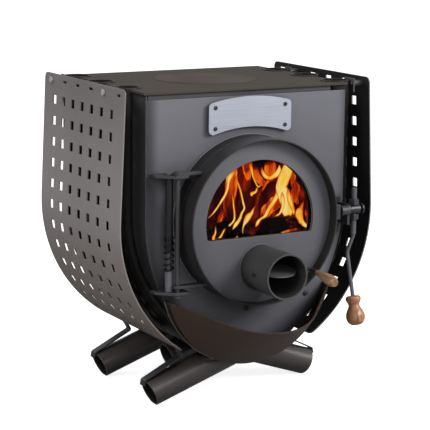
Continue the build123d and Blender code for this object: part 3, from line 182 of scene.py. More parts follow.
# The paper fades to the white of the room with distance, and keeps the shadow near the stove
away = add(tree, "VectorMath", {0: add(tree, "TexCoord").outputs["Object"]}, operation="LENGTH")
lift = add(tree, "MapRange", {
    "Value": away.outputs["Value"], "From Min": 0.5, "From Max": 1.6, "To Min": 0.8, "To Max": 1.0,
})
shown = add(tree, "Math", {0: seen, 1: lift.outputs[0]}, operation="MULTIPLY")
glow = add(tree, "Emission", {"Color": WHITE, "Strength": shown.outputs[0]})
bounce = add(tree, "MixRGB", {"Fac": seen, "Color1": linear("#9a9a9a"), "Color2": linear("#e2e2e2")})
matt = add(tree, "BsdfDiffuse", {"Color": bounce.outputs[0]})
both = add(tree, "AddShader", {0: matt.outputs[0], 1: glow.outputs[0]})
tree.links.new(both.outputs[0], tree.nodes["Material Output"].inputs["Surface"])
floor.data.materials.append(paper)


# Finishes


# How far two directions agree, on a flat face and on a sharp edge
FLAT, SHARP = 0.985, 0.80
# Painted shade at a body plate's outline, in millimetres: how far in it starts, how far out it is darkest,
# and how far to the right it sits
BAND_IN, BAND_OUT, BAND_SHIFT = 26, 4, 8


def heat_paint(
    name, colour, patch, wear_and_sheen, roughness=0.46, grain=0.35, shine=0.4, shade_reach=45.0, darkest=0.42,
    rim_shade=False, shade_by_height=None, low=None, inner_shade=None,
):
    """Heat-proof paint: faint cloudy patches, a fine sprayed grain and thin lighter edges, partly where it
    wears and partly a painted highlight.

    Corners and gaps are darker with painted shade, as far out as shade_reach says in millimetres and down to
    darkest. rim_shade paints shade on a body plate towards its outline. shade_by_height is the painted light
    and shade, and the gleam, by height above the floor in millimetres. low is the colour that it turns lower
    down, and the bottom and top between which it
    turns. inner_shade is painted shade: the dark colour of faces that look at the stove's middle. The sprayed
    grain is drawn about five times as coarse as it is, so that it shows."""
    material, tree, shader = new_finish(name, roughness, Specular_IOR_Level=shine)
    at = add(tree, "TexCoord").outputs["Object"]
    clouds = add(tree, "TexNoise", {"Vector": at, "Scale": repeats(143), "Detail": 4.0, "Roughness": 0.62})
    speck = add(tree, "TexNoise", {"Vector": at, "Scale": repeats(1.25), "Detail": 2.0})
    shade = add(tree, "ValToRGB", {"Fac": clouds.outputs["Fac"]}, [(0.34, colour), (0.68, patch)])

    # Lighter edges, partly where the paint wears and partly a painted highlight: where the rounded normal
    # turns away from the flat one
    round_edge = add(tree, "Bevel", {"Radius": 1.1 * MM}, samples=5)
    normal = add(tree, "NewGeometry").outputs["Normal"]
    edge = add(tree, "VectorMath", {0: round_edge.outputs[0], 1: normal}, operation="DOT_PRODUCT")
    edge_near = add(tree, "MapRange", {"Value": edge.outputs["Value"], "From Min": FLAT, "From Max": SHARP})
    wear_and_sheen_mask = add(tree, "Math", {0: edge_near.outputs[0], 1: clouds.outputs["Fac"]}, operation="MULTIPLY")

    # Painted shade in corners and gaps, from ambient occlusion
    near = add(tree, "AmbientOcclusion", {"Distance": shade_reach * MM}, samples=6)
    corner_shade = add(tree, "MapRange", {
        "Value": near.outputs["AO"], "From Min": 0.3, "From Max": 0.92, "To Min": darkest,
    })
    tone = add(tree, "MixRGB", {
        "Fac": 1.0, "Color1": shade.outputs[0], "Color2": corner_shade.outputs[0],
    }, blend_type="MULTIPLY").outputs[0]
    across, _, high = add(tree, "SeparateXYZ", {0: at}).outputs
    if rim_shade:
        # Painted shade, darkest at the plate's outline. Distance in from the plate's outline: straight sides
        # above the bend, arcs of the bend's radius below
        shifted = add(tree, "Math", {0: across, 1: BAND_SHIFT * MM}, operation="SUBTRACT")
        either_side = add(tree, "Math", {0: shifted.outputs[0]}, operation="ABSOLUTE")
        out = add(tree, "Math", {0: either_side.outputs[0], 1: BEND_X * MM})
        below = add(tree, "Math", {0: high, 1: BEND_Z * MM}, operation="SUBTRACT")
        drop = add(tree, "Math", {0: below.outputs[0], 1: 0.0}, operation="MINIMUM")
        reach = add(tree, "CombineXYZ", {"X": out.outputs[0], "Z": drop.outputs[0]})
        radius = add(tree, "VectorMath", {0: reach.outputs[0]}, operation="LENGTH")
        painted_rim_shade = add(tree, "MapRange", {
            "Value": radius.outputs["Value"], "To Min": 1.0, "To Max": 0.3,
            "From Min": (BEND_R - BAND_IN) * MM, "From Max": (BEND_R + BAND_OUT) * MM,
        }, interpolation_type="SMOOTHSTEP")
        tone = add(tree, "MixRGB", {
            "Fac": 1.0, "Color1": tone, "Color2": painted_rim_shade.outputs[0],
        }, blend_type="MULTIPLY").outputs[0]
    if shade_by_height:
        # Painted light and shade by height. The stove is less than a metre high, so the height in metres runs
        # along the colour stops
        height_shade = add(tree, "ValToRGB", {"Fac": high}, [(z * MM, part) for z, part in shade_by_height])
        tone = add(tree, "MixRGB", {
            "Fac": 1.0, "Color1": tone, "Color2": height_shade.outputs[0],
        }, blend_type="MULTIPLY").outputs[0]
        gleam = add(tree, "Math", {0: height_shade.outputs[0], 1: shine}, operation="MULTIPLY")
        feed(tree, shader, Specular_IOR_Level=gleam)
    if low:
        low_colour, bottom, top = low
        near_floor = add(tree, "MapRange", {
            "Value": high, "From Min": bottom * MM, "From Max": top * MM, "To Min": 1.0, "To Max": 0.0,
        })
        tone = add(tree, "MixRGB", {
            "Fac": near_floor.outputs[0], "Color1": tone, "Color2": linear(low_colour),
        }).outputs[0]
    # Painted shade on faces that look towards the stove's middle
    if inner_shade:
        facing = add(tree, "SeparateXYZ", {0: normal}).outputs["X"]
        towards = add(tree, "Math", {0: across, 1: facing}, operation="MULTIPLY")
        inside = add(tree, "MapRange", {"Value": towards.outputs[0], "From Min": -0.02, "From Max": -0.08})
        tone = add(tree, "MixRGB", {
            "Fac": inside.outputs[0], "Color1": tone, "Color2": linear(inner_shade),
        }).outputs[0]

    final = add(tree, "MixRGB", {"Fac": wear_and_sheen_mask.outputs[0], "Color1": tone, "Color2": linear(wear_and_sheen)})
    gloss = add(tree, "MapRange", {
        "Value": clouds.outputs["Fac"], "From Min": 0.3, "From Max": 0.7,
        "To Min": roughness - 0.05, "To Max": roughness + 0.07,
    })
    grainy = add(tree, "Bump", {
        "Strength": grain, "Distance": 0.15 * MM,
        "Height": speck.outputs["Fac"], "Normal": round_edge.outputs[0],
    })
    feed(tree, shader, Base_Color=final, Roughness=gloss, Normal=grainy)
    return material


# Painted shade towards the plate's outline and in corners, and painted light and shade by height
front_paint = heat_paint(
    "graphite_heat_paint", "#6a6a71", "#717178", "#9a9aa0", shade_reach=42.0, darkest=0.62, rim_shade=True,
    shade_by_height=[(130, 0.65), (230, 1.0), (330, 0.96), (450, 0.77), (540, 0.9), (630, 1.0)],
)
# Painted shade: darker towards the bottom, and in corners such as below the air pipe
door_paint = heat_paint(
    "door_heat_paint", "#65656b", "#6b6b71", "#93939a", shade_reach=55.0, darkest=0.72,
    shade_by_height=[(210, 0.6), (300, 0.76), (400, 0.84), (540, 1.0)],
)
# The drum and collar are painted darker than the door's face: painted shade on their sides
drum_shade_paint = heat_paint("drum_side_shaded_paint", "#2b2829", "#322f30", "#8a898c", shine=0.3)
# Deep painted shade in corners and recesses, such as the pipe's bore
pipe_paint = heat_paint("pipe_heat_paint", "#424041", "#494747", "#8b8a8a", 0.5, shade_reach=60.0, darkest=0.15)
body_paint = heat_paint("body_heat_paint", "#48474a", "#504f52", "#7a7a7c", 0.5)
# Painted shade: near black above the feet, where the tubes stand in the gaps, and deep in corners
tube_paint = heat_paint(
    "tube_satin_paint", "#403a38", "#48423f", "#6f6b6b", 0.3, shine=0.9, shade_reach=60.0, darkest=0.12,
    shade_by_height=[(150, 1.0), (240, 0.25), (560, 0.2), (610, 0.5)],
)
# Painted shade near the top and on faces that look inward; browner towards the bottom
screen_paint = heat_paint(
    "screen_satin_paint", "#858080", "#8c8786", "#c5c2c1", 0.5,
    shade_by_height=[(480, 1.0), (620, 0.76)], low=("#75675f", 110, 380), inner_shade="#1f1d1d",
)
lip_paint = heat_paint("lip_black_paint", "#35251b", "#3d2b21", "#857d78", 0.48)
# Near black, partly the sleeve's own paint and partly painted shade behind the hinge pin; turning grey low
# down
sleeve_paint_and_shade = heat_paint(
    "sleeve_black_and_shade", "#171414", "#1d1919", "#3e3a3a", 0.5, low=("#66666b", 290, 312),
)
# The lip's weld is painted lighter than the lip: a painted highlight along the lip's edge
weld_highlight_paint = heat_paint("weld_painted_highlight", "#6d6661", "#78716b", "#96908b", 0.5)
rod_paint = heat_paint("lever_rod_paint", "#5b5b5f", "#636367", "#9a9a9e", 0.42)
hinge_paint = heat_paint("fitting_black_paint", "#3c3c3f", "#444448", "#8a8a8e", 0.45)
top_paint = heat_paint("top_plate_paint", "#443e39", "#4c463f", "#6b6660", 0.6, shine=0.12)
fire_steel = heat_paint("fire_darkened_steel", "#2a2524", "#37302d", "#4a4340", 0.7, 0.6)


def zinc_steel(name, colour, roughness):
    """Plated or blued steel: cool metal with a fine cloudy sheen and tiny handling marks."""
    material, tree, shader = new_finish(name, roughness, 0.7)
    at = add(tree, "TexCoord").outputs["Object"]
    clouds = add(tree, "TexNoise", {"Vector": at, "Scale": repeats(4.2), "Detail": 4.0})
    shade = add(tree, "ValToRGB", {"Fac": clouds.outputs["Fac"]}, [(0.3, colour[0]), (0.7, colour[1])])
    gloss = add(tree, "MapRange", {
        "Value": clouds.outputs["Fac"], "To Min": roughness - 0.08, "To Max": roughness + 0.1,
    })
    soft = add(tree, "Bevel", {"Radius": 0.5 * MM}, samples=4)
    marked = add(tree, "Bump", {
        "Strength": 0.2, "Distance": 0.1 * MM, "Height": clouds.outputs["Fac"], "Normal": soft.outputs[0],
    })
    feed(tree, shader, Base_Color=shade, Roughness=gloss, Normal=marked)
    return material


bolt_steel = zinc_steel("zinc_plated_steel", ("#dfdfe2", "#f4f4f6"), 0.32)
dark_steel = zinc_steel("blackened_steel", ("#3a3a3d", "#4c4c50"), 0.4)
spring_steel = zinc_steel("blued_spring_steel", ("#1d1a1b", "#2c292a"), 0.5)


def brushed_plate():
    """Satin stainless plate: long brush lines from side to side, and a cool silver grey.

    The lines are drawn about ten times as coarse as they are, so that they show."""
    material, tree, shader = new_finish("brushed_stainless", 0.42, 0.15)
    at = add(tree, "TexCoord").outputs["Object"]
    long_way = add(tree, "Mapping", {"Vector": at, "Scale": (repeats(83), repeats(1.1), repeats(1.1))})
    brush = add(tree, "TexNoise", {"Vector": long_way.outputs[0], "Scale": 1.0, "Detail": 3.0})
    shade = add(tree, "ValToRGB", {"Fac": brush.outputs["Fac"]}, [(0.25, "#9fa3b0"), (0.75, "#b8bcc8")])
    gloss = add(tree, "MapRange", {"Value": brush.outputs["Fac"], "To Min": 0.36, "To Max": 0.5})
    soft = add(tree, "Bevel", {"Radius": 0.6 * MM}, samples=4)
    brushed = add(tree, "Bump", {
        "Strength": 0.15, "Distance": 0.1 * MM, "Height": brush.outputs["Fac"], "Normal": soft.outputs[0],
    })
    feed(tree, shader, Base_Color=shade, Roughness=gloss, Normal=brushed)
    return material


stainless = brushed_plate()


def turned_iron():
    """Cooking disc: cast iron faced on a lathe, with fine rings, browned by heat and oil.

    The rings are drawn several times as coarse as a lathe's feed, so that they show."""
    material, tree, shader = new_finish("faced_cast_iron", 0.5, Specular_IOR_Level=0.15)
    at = add(tree, "TexCoord").outputs["Object"]
    centred = add(tree, "Mapping", {"Vector": at, "Location": (0.0, -HOB_Y * MM, 0.0)})
    rings = add(tree, "TexWave", {
        "Vector": centred.outputs[0], "Scale": lines(5.7, 20),
        "Distortion": 0.6, "Detail": 2.0, "Detail Scale": 3.0,
    }, wave_type="RINGS", rings_direction="Z")
    heat = add(tree, "TexNoise", {"Vector": at, "Scale": repeats(71), "Detail": 5.0})
    shade = add(tree, "ValToRGB", {"Fac": heat.outputs["Fac"]}, [(0.3, "#463d39"), (0.7, "#554a44")])
    gloss = add(tree, "MapRange", {"Value": rings.outputs["Fac"], "To Min": 0.5, "To Max": 0.62})
    soft = add(tree, "Bevel", {"Radius": 1.0 * MM}, samples=4)
    faced = add(tree, "Bump", {
        "Strength": 0.25, "Distance": 0.12 * MM, "Height": rings.outputs["Fac"], "Normal": soft.outputs[0],
    })
    feed(tree, shader, Base_Color=shade, Roughness=gloss, Normal=faced)
    return material


hob_iron = turned_iron()


def turned_wood(name, start, run, tones):
    """Turned hardwood with a thin lacquer: grain runs along the grip, with darker pores.

    start is a point on the grip's axis and run is the axis's direction. The pores are drawn a few times as
    wide as they are, so that they show."""
    material, tree, shader = new_finish(name, 0.38, Coat_Weight=0.25, Coat_Roughness=0.25)
    at = add(tree, "TexCoord").outputs["Object"]
    own = add(tree, "Mapping", {"Vector": at, "Location": [-c * MM for c in start]})
    lean = Vector(run).to_track_quat("Z", "X").to_euler()
    upright = add(tree, "VectorRotate", {
        "Vector": own.outputs[0], "Rotation": (lean.x, lean.y, lean.z),
    }, rotation_type="EULER_XYZ", invert=True)
    drawn = add(tree, "Mapping", {"Vector": upright.outputs[0], "Scale": (1.0, 1.0, 0.08)})
    figure = add(tree, "TexNoise", {
        "Vector": drawn.outputs[0], "Scale": repeats(5.3), "Detail": 6.0, "Distortion": 1.2,
    })
    pores = add(tree, "TexNoise", {"Vector": drawn.outputs[0], "Scale": repeats(0.77), "Detail": 2.0})
    shade = add(tree, "ValToRGB", {"Fac": figure.outputs["Fac"]}, [
        (0.3, tones[0]), (0.5, tones[1]), (0.72, tones[2]),
    ])
    dark = add(tree, "ValToRGB", {"Fac": pores.outputs["Fac"]}, [(0.36, 0.55), (0.5, 1.0)])
    final = add(tree, "MixRGB", {
        "Fac": 0.7, "Color1": shade.outputs[0], "Color2": dark.outputs[0],
    }, blend_type="MULTIPLY")
    raised = add(tree, "Bump", {"Strength": 0.3, "Distance": 0.12 * MM, "Height": figure.outputs["Fac"]})
    feed(tree, shader, Base_Color=final, Normal=raised)
    return material


grip_wood = turned_wood("lever_grip_wood", GRIP_TOP, GRIP_RUN, ("#714b34", "#a97654", "#c99870"))
knob_wood = turned_wood("damper_knob_wood", KNOB_END, KNOB_RUN, ("#6e4c35", "#987254", "#b99273"))


def stove_glass():
    """Clear ceramic glass: what is behind it shows through, with a weak sharp reflection."""
    material, tree, shader = new_finish("clear_ceramic_glass")
    tree.nodes.remove(shader)
    clear = add(tree, "BsdfTransparent", {"Color": linear("#f6efe6")})
    shine = add(tree, "BsdfGlossy", {"Color": WHITE, "Roughness": 0.04})
    edge = add(tree, "Fresnel", {"IOR": 1.35})
    part = add(tree, "Math", {0: edge.outputs[0], 1: 0.12}, operation="MULTIPLY")
    mix = add(tree, "MixShader", {0: part.outputs[0], 1: clear.outputs[0], 2: shine.outputs[0]})
    tree.links.new(mix.outputs[0], tree.nodes["Material Output"].inputs["Surface"])
    return material


glass = stove_glass()


def glass_fibre(name, colour, pitch):
    """Woven glass fibre: off-white yarns that cross at right angles, drawn coarser than they are to show.

    pitch is from yarn to yarn in millimetres."""
    material, tree, shader = new_finish(name, 0.85, Sheen_Weight=0.2)
    at = add(tree, "TexCoord").outputs["Object"]
    turned = add(tree, "Mapping", {"Vector": at, "Rotation": (0.0, math.pi / 2, 0.0)}).outputs[0]
    yarn, crossing = (
        add(tree, "TexWave", {
            "Vector": way, "Scale": lines(pitch, 10), "Distortion": 1.0,
        }, bands_direction="DIAGONAL").outputs["Fac"]
        for way in (at, turned)
    )
    weave = add(tree, "Math", {0: yarn, 1: crossing}, operation="MULTIPLY")
    shade = add(tree, "ValToRGB", {"Fac": weave.outputs[0]}, [(0.05, colour[0]), (0.6, colour[1])])
    raised = add(tree, "Bump", {"Strength": 0.7, "Distance": 0.4 * MM, "Height": weave.outputs[0]})
    feed(tree, shader, Base_Color=shade, Normal=raised)
    return material


rope_fibre = glass_fibre("glass_fibre_rope", ("#8d877c", "#d2cdc0"), 2.4)
tape_fibre = glass_fibre("glass_fibre_tape", ("#6f6a62", "#b4afa4"), 1.5)


def charred_wood():
    """Burning split log: black char that is cracked into scales, with red heat in some cracks."""
    material, tree, shader = new_finish(
        "charred_firewood", 0.9, Specular_IOR_Level=0.08, Emission_Strength=1.0,
    )
    at = add(tree, "TexCoord").outputs["Object"]
    grain = add(tree, "Mapping", {"Vector": at, "Scale": (0.45, 1.0, 1.0)})
    scales = add(tree, "TexVoronoi", {
        "Vector": grain.outputs[0], "Scale": repeats(10.5),
    }, feature="DISTANCE_TO_EDGE")
    clouds = add(tree, "TexNoise", {"Vector": at, "Scale": repeats(45), "Detail": 5.0})
    black = add(tree, "ValToRGB", {"Fac": clouds.outputs["Fac"]}, [
        (0.35, "#050202"), (0.6, "#0c0504"), (0.78, "#1f120e"),
    ])
    crack = add(tree, "MapRange", {"Value": scales.outputs["Distance"], "From Min": 0.05, "From Max": 0.0})
    alive = add(tree, "MapRange", {"Value": clouds.outputs["Fac"], "From Min": 0.56, "From Max": 0.7})
    heat = add(tree, "Math", {0: crack.outputs[0], 1: alive.outputs[0]}, operation="MULTIPLY")
    glow = add(tree, "ValToRGB", {"Fac": heat.outputs[0]}, [
        (0.0, "#000000"), (0.4, "#5a0f04"), (0.9, "#e04a10"),
    ])
    rough = add(tree, "Bump", {"Strength": 0.8, "Distance": 1.5 * MM, "Height": scales.outputs["Distance"]})
    feed(tree, shader, Base_Color=black, Emission_Color=glow, Normal=rough)
    return material


char = charred_wood()


def ember_bed():
    """Embers: cracked lumps, grey ash on their tops and orange heat between them."""
    material, tree, shader = new_finish("glowing_embers", 0.95, Emission_Strength=1.0)
    at = add(tree, "TexCoord").outputs["Object"]
    cracks = add(tree, "TexVoronoi", {"Vector": at, "Scale": repeats(14.3)}, feature="DISTANCE_TO_EDGE")
    clouds = add(tree, "TexNoise", {"Vector": at, "Scale": repeats(38), "Detail": 4.0})
    ash = add(tree, "ValToRGB", {"Fac": cracks.outputs["Distance"]}, [
        (0.05, "#120a08"), (0.3, "#3a302c"), (0.6, "#6c625b"),
    ])
    gap = add(tree, "MapRange", {"Value": cracks.outputs["Distance"], "From Min": 0.28, "From Max": 0.0})
    heat = add(tree, "Math", {0: gap.outputs[0], 1: clouds.outputs["Fac"]}, operation="MULTIPLY")
    glow = add(tree, "ValToRGB", {"Fac": heat.outputs[0]}, [
        (0.2, "#000000"), (0.32, "#6a1003"), (0.5, "#d8400a"), (0.68, "#ffa03c"),
    ])
    rough = add(tree, "Bump", {"Strength": 1.0, "Distance": 4.0 * MM, "Height": cracks.outputs["Distance"]})
    feed(tree, shader, Base_Color=ash, Emission_Color=glow, Normal=rough)
    material.cycles.emission_sampling = "NONE"
    return material


embers = ember_bed()


def new_glow(name):
    """Material of burning gas: no surface of its own, so that it only glows."""
    material, tree, shader = new_finish(
        name, 1.0, Base_Color=(0, 0, 0, 1), Specular_IOR_Level=0.0, Emission_Strength=1.0,
    )
    material.cycles.emission_sampling = "NONE"
    return material, tree, shader


# Heat along a flame, from its foot at 0 to its tip at 1
RISING = [(0.0, 0.55), (0.12, 1.0), (0.7, 0.9), (1.0, 0.2)]
STEADY = [(0.0, 0.6), (0.1, 1.0), (1.0, 0.94)]
GATHERING = [(0.0, 0.15), (0.4, 0.4), (0.75, 0.85), (1.0, 0.8)]

# Heat across a flame, from its middle at 0 to its edge at 0.5
BRIGHT_CORE = [(0.0, 1.0), (0.2, 0.88), (0.34, 0.55), (0.47, 0.12), (0.5, 0.0)]
VEIL_CORE = [(0.0, 0.42), (0.26, 0.38), (0.36, 0.6), (0.4, 0.68), (0.47, 0.2), (0.5, 0.0)]
ORANGE_CORE = [(0.0, 0.55), (0.25, 0.5), (0.38, 0.58), (0.46, 0.2), (0.5, 0.0)]
COLUMN_CORE = [(0.0, 0.84), (0.22, 0.92), (0.36, 0.8), (0.44, 0.45), (0.5, 0.0)]
DULL_CORE = [(0.0, 0.34), (0.3, 0.26), (0.46, 0.08), (0.5, 0.0)]

# Colour of the burning gas from cool to hot
HEAT_COLOURS = [
    (0.0, "#1c0203"), (0.2, "#6b1006"), (0.38, "#cc360a"), (0.56, "#f67c18"), (0.72, "#ffb836"),
    (0.88, "#ffdf5c"), (1.0, "#fff0a0"),
]


def flame_light(name, across, ragged, solid, mottled, along=RISING):
    """Flame: a thin glowing gas sheet, hot along its middle or its rims, that fades out where it is cool.

    ragged is how far licks push the pattern sideways, solid the heats between which the sheet turns from
    clear to solid, and mottled the range of heat from patch to patch."""
    material, tree, shader = new_glow(name)
    at = add(tree, "TexCoord").outputs
    own = add(tree, "SeparateXYZ", {0: at["UV"]}).outputs
    rising = add(tree, "Mapping", {"Vector": at["Object"], "Scale": (1.0, 1.0, 0.3)})
    lick = add(tree, "TexNoise", {
        "Vector": rising.outputs[0], "Scale": repeats(15.6), "Detail": 4.0, "Distortion": 0.9,
    }).outputs["Fac"]
    shift = add(tree, "MapRange", {
        "Value": lick, "From Min": 0.25, "From Max": 0.75, "To Min": -ragged, "To Max": ragged,
    }, clamp=False)
    moved = add(tree, "Math", {0: own["X"], 1: shift.outputs[0]}, operation="ADD")
    centred = add(tree, "Math", {0: moved.outputs[0], 1: 0.5}, operation="SUBTRACT")
    side = add(tree, "Math", {0: centred.outputs[0]}, operation="ABSOLUTE")
    core = add(tree, "ValToRGB", {"Fac": side.outputs[0]}, across)
    tip = add(tree, "ValToRGB", {"Fac": own["Y"]}, along)
    heat = add(tree, "Math", {0: core.outputs[0], 1: tip.outputs[0]}, operation="MULTIPLY")
    mottle = add(tree, "MapRange", {
        "Value": lick, "From Min": 0.3, "From Max": 0.7, "To Min": mottled[0], "To Max": mottled[1],
    })
    warm = add(tree, "Math", {0: heat.outputs[0], 1: mottle.outputs[0]}, operation="MULTIPLY")
    glow = add(tree, "ValToRGB", {"Fac": warm.outputs[0]}, HEAT_COLOURS)
    cover = add(tree, "MapRange", {"Value": warm.outputs[0], "From Min": solid[0], "From Max": solid[1]})
    feed(tree, shader, Emission_Color=glow, Alpha=cover)
    return material


flame_kinds = {
    "bright": flame_light("bright_yellow_flame", BRIGHT_CORE, 0.08, (0.18, 0.58), (0.72, 1.3)),
    "column": flame_light("yellow_flame_column", COLUMN_CORE, 0.07, (0.18, 0.6), (0.92, 1.3), STEADY),
    "veil": flame_light("thin_orange_flame", VEIL_CORE, 0.07, (0.1, 0.5), (0.8, 1.9), GATHERING),
    "orange": flame_light("full_orange_flame", ORANGE_CORE, 0.1, (0.1, 0.45), (0.36, 1.25)),
    "dull": flame_light("dull_red_flame", DULL_CORE, 0.12, (0.05, 0.4), (0.5, 1.3)),
}


def fire_haze_and_firelight():
    """Dark red glow at the back of the fire, partly smoke and partly painted firelight: smoky black with dull
    streaks that rise.
    """
    material, tree, shader = new_glow("dark_red_haze_and_firelight")
    at = add(tree, "TexCoord").outputs["Object"]
    rising = add(tree, "Mapping", {"Vector": at, "Scale": (1.0, 1.0, 0.35), "Rotation": (0.0, 0.25, 0.0)})
    streak = add(tree, "TexNoise", {
        "Vector": rising.outputs[0], "Scale": repeats(33.3), "Detail": 6.0, "Distortion": 1.4,
    })
    glow = add(tree, "ValToRGB", {"Fac": streak.outputs["Fac"]}, [
        (0.36, "#0e0203"), (0.5, "#280505"), (0.6, "#4a0a06"), (0.72, "#86200a"),
    ])
    feed(tree, shader, Emission_Color=glow)
    return material


haze_and_firelight = fire_haze_and_firelight()

finish_of = {
    front_paint: ["front_plate"],
    door_paint: ["door_face"],
    drum_shade_paint: ["door_drum", "door_collar"],
    pipe_paint: ["air_pipe"],
    body_paint: [
        "front_header", "rear_plate", "side_sheets_left", "side_sheets_right", "flue_spigot",
        "screen_brackets",
    ],
    tube_paint: [name for name in nodes if name.startswith("air_tube")],
    screen_paint: ["screen_left", "screen_right"],
    lip_paint: ["ash_lip"],
    hinge_paint: [
        "hinge_lugs", "door_lugs", "hinge_pin", "hinge_nut", "latch_bracket", "latch_cam", "latch_tongue",
        "latch_nuts", "front_plate_screws",
    ],
    sleeve_paint_and_shade: ["spring_sleeves"],
    rod_paint: ["latch_rod", "damper_plate", "spring_bolt"],
    top_paint: ["top_plate"],
    fire_steel: [
        "baffle_plate", "baffle_bars", "ember_guard", "door_seat_ring", "rope_channel", "heat_shield",
        "glass_clips", "glass_clip_screws", "shield_standoffs",
    ],
    bolt_steel: ["flue_flange_bolts", "screen_bolts"],
    dark_steel: [
        "damper_shaft", "damper_screws", "latch_shaft", "latch_washer", "screen_clips", "hinge_spring",
        "nameplate_rivets",
    ],
    stainless: ["nameplate"],
    hob_iron: ["hob_disc"],
    grip_wood: ["latch_grip"],
    knob_wood: ["damper_knob"],
    glass: ["window_glass"],
    rope_fibre: ["rope_seal"],
    tape_fibre: ["window_gasket"],
}
for finish, names in finish_of.items():
    for name in names:
        for place in nodes[name].material_slots:
            place.material = finish


# Modelling helpers


def chosen(*pieces):
    """Selects these pieces and nothing else, with the first as the active one."""
    bpy.ops.object.select_all(action="DESELECT")
    for piece in pieces:
        piece.select_set(True)
    bpy.context.view_layer.objects.active = pieces[0]


def coated(piece, finish):
    """Gives the piece this finish and no other."""
    piece.data.materials.clear()
    piece.data.materials.append(finish)
    return piece


def added(operator, name, finish, **settings):
    """Adds a primitive by its operator, alone in the selection, and gives it its name and finish."""
    bpy.ops.object.select_all(action="DESELECT")
    operator(**settings)
    piece = bpy.context.object
    piece.name = name
    return coated(piece, finish)


def applied(piece, kind, **settings):
    """Adds a modifier with its settings and applies it."""
    chosen(piece)
    modifier = piece.modifiers.new(kind.lower(), kind)
    for name, value in settings.items():
        setattr(modifier, name, value)
    bpy.ops.object.modifier_apply(modifier=modifier.name)
    return piece


def shaded_smooth(angle):
    """Shades the selected piece smooth, apart from edges that are sharper than the angle in degrees."""
    bpy.ops.object.shade_smooth_by_angle(angle=math.radians(angle))


def settled(piece):
    """Applies the piece's place and turn, so that they are in its mesh."""
    chosen(piece)
    bpy.ops.object.transform_apply(location=True, rotation=True, scale=True)
    shaded_smooth(40)
    return piece


def joined(pieces, name):
    """Joins pieces into one."""
    chosen(*pieces)
    bpy.ops.object.join()
    pieces[0].name = name
    return pieces[0]


def tube_along(name, points, radius, finish, closed=False, sides=3):
    """Round tube through points in millimetres, made a mesh with its ends closed."""
    curve = bpy.data.curves.new(name, "CURVE")
    curve.dimensions = "3D"
    curve.bevel_depth, curve.bevel_resolution = radius * MM, sides
    curve.use_fill_caps = not closed
    run = curve.splines.new("POLY")
    run.points.add(len(points) - 1)
    for target, point in zip(run.points, points):
        target.co = (*(c * MM for c in point), 1.0)
    run.use_cyclic_u = closed
    piece = bpy.data.objects.new(name, curve)
    bpy.context.scene.collection.objects.link(piece)
    chosen(piece)
    bpy.ops.object.convert(target="MESH")
    shaded_smooth(50)
    return coated(bpy.context.object, finish)


def roughened(piece, depth, size, seed):
    """Pushes the surface in and out by noise of the given depth and size in millimetres."""
    offset = Vector((seed * 7.3, seed * 3.1, seed * 5.7))
    mesh = piece.data
    normals = [vertex.normal.copy() for vertex in mesh.vertices]
    for vertex, out in zip(mesh.vertices, normals):
        at = vertex.co / (size * MM)
        vertex.co += out * depth * MM * (noise.noise(at + offset) + 0.4 * noise.noise(at * 3 + offset))
    mesh.update()
    return piece


def lights_nothing(piece):
    """The fire shows, but throws no light on the stove's outside, as in the photograph."""
    piece.visible_diffuse = piece.visible_glossy = False
    return piece


def placed(piece, body="stove"):
    """Lets the piece ride on a body."""
    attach(piece, body)
    return piece


# The fire: ribbons of flame that stand over burning logs and an ember bed


def behind(x, z, y):
    """Point at depth y on the camera's line through the window's point (x, z), in metres."""
    near = Vector((x, FACE_Y, DOOR_Z + z))
    along = (y - CAMERA.y) / (near.y - CAMERA.y)
    return (CAMERA + (near - CAMERA) * along) * MM


def soft_line(points, steps):
    """Points on a soft curve that passes through the given ones."""
    ends = [points[0], *points, points[-1]]
    line = []
    for four in zip(ends, ends[1:], ends[2:], ends[3:]):
        for k in range(steps):
            t = k / steps
            line.append([
                0.5 * (
                    2 * q + (r - p) * t + (2 * p - 5 * q + 4 * r - s) * t ** 2
                    + (3 * q - p - 3 * r + s) * t ** 3
                )
                for p, q, r, s in zip(*four)
            ])
    return line + [list(points[-1])]


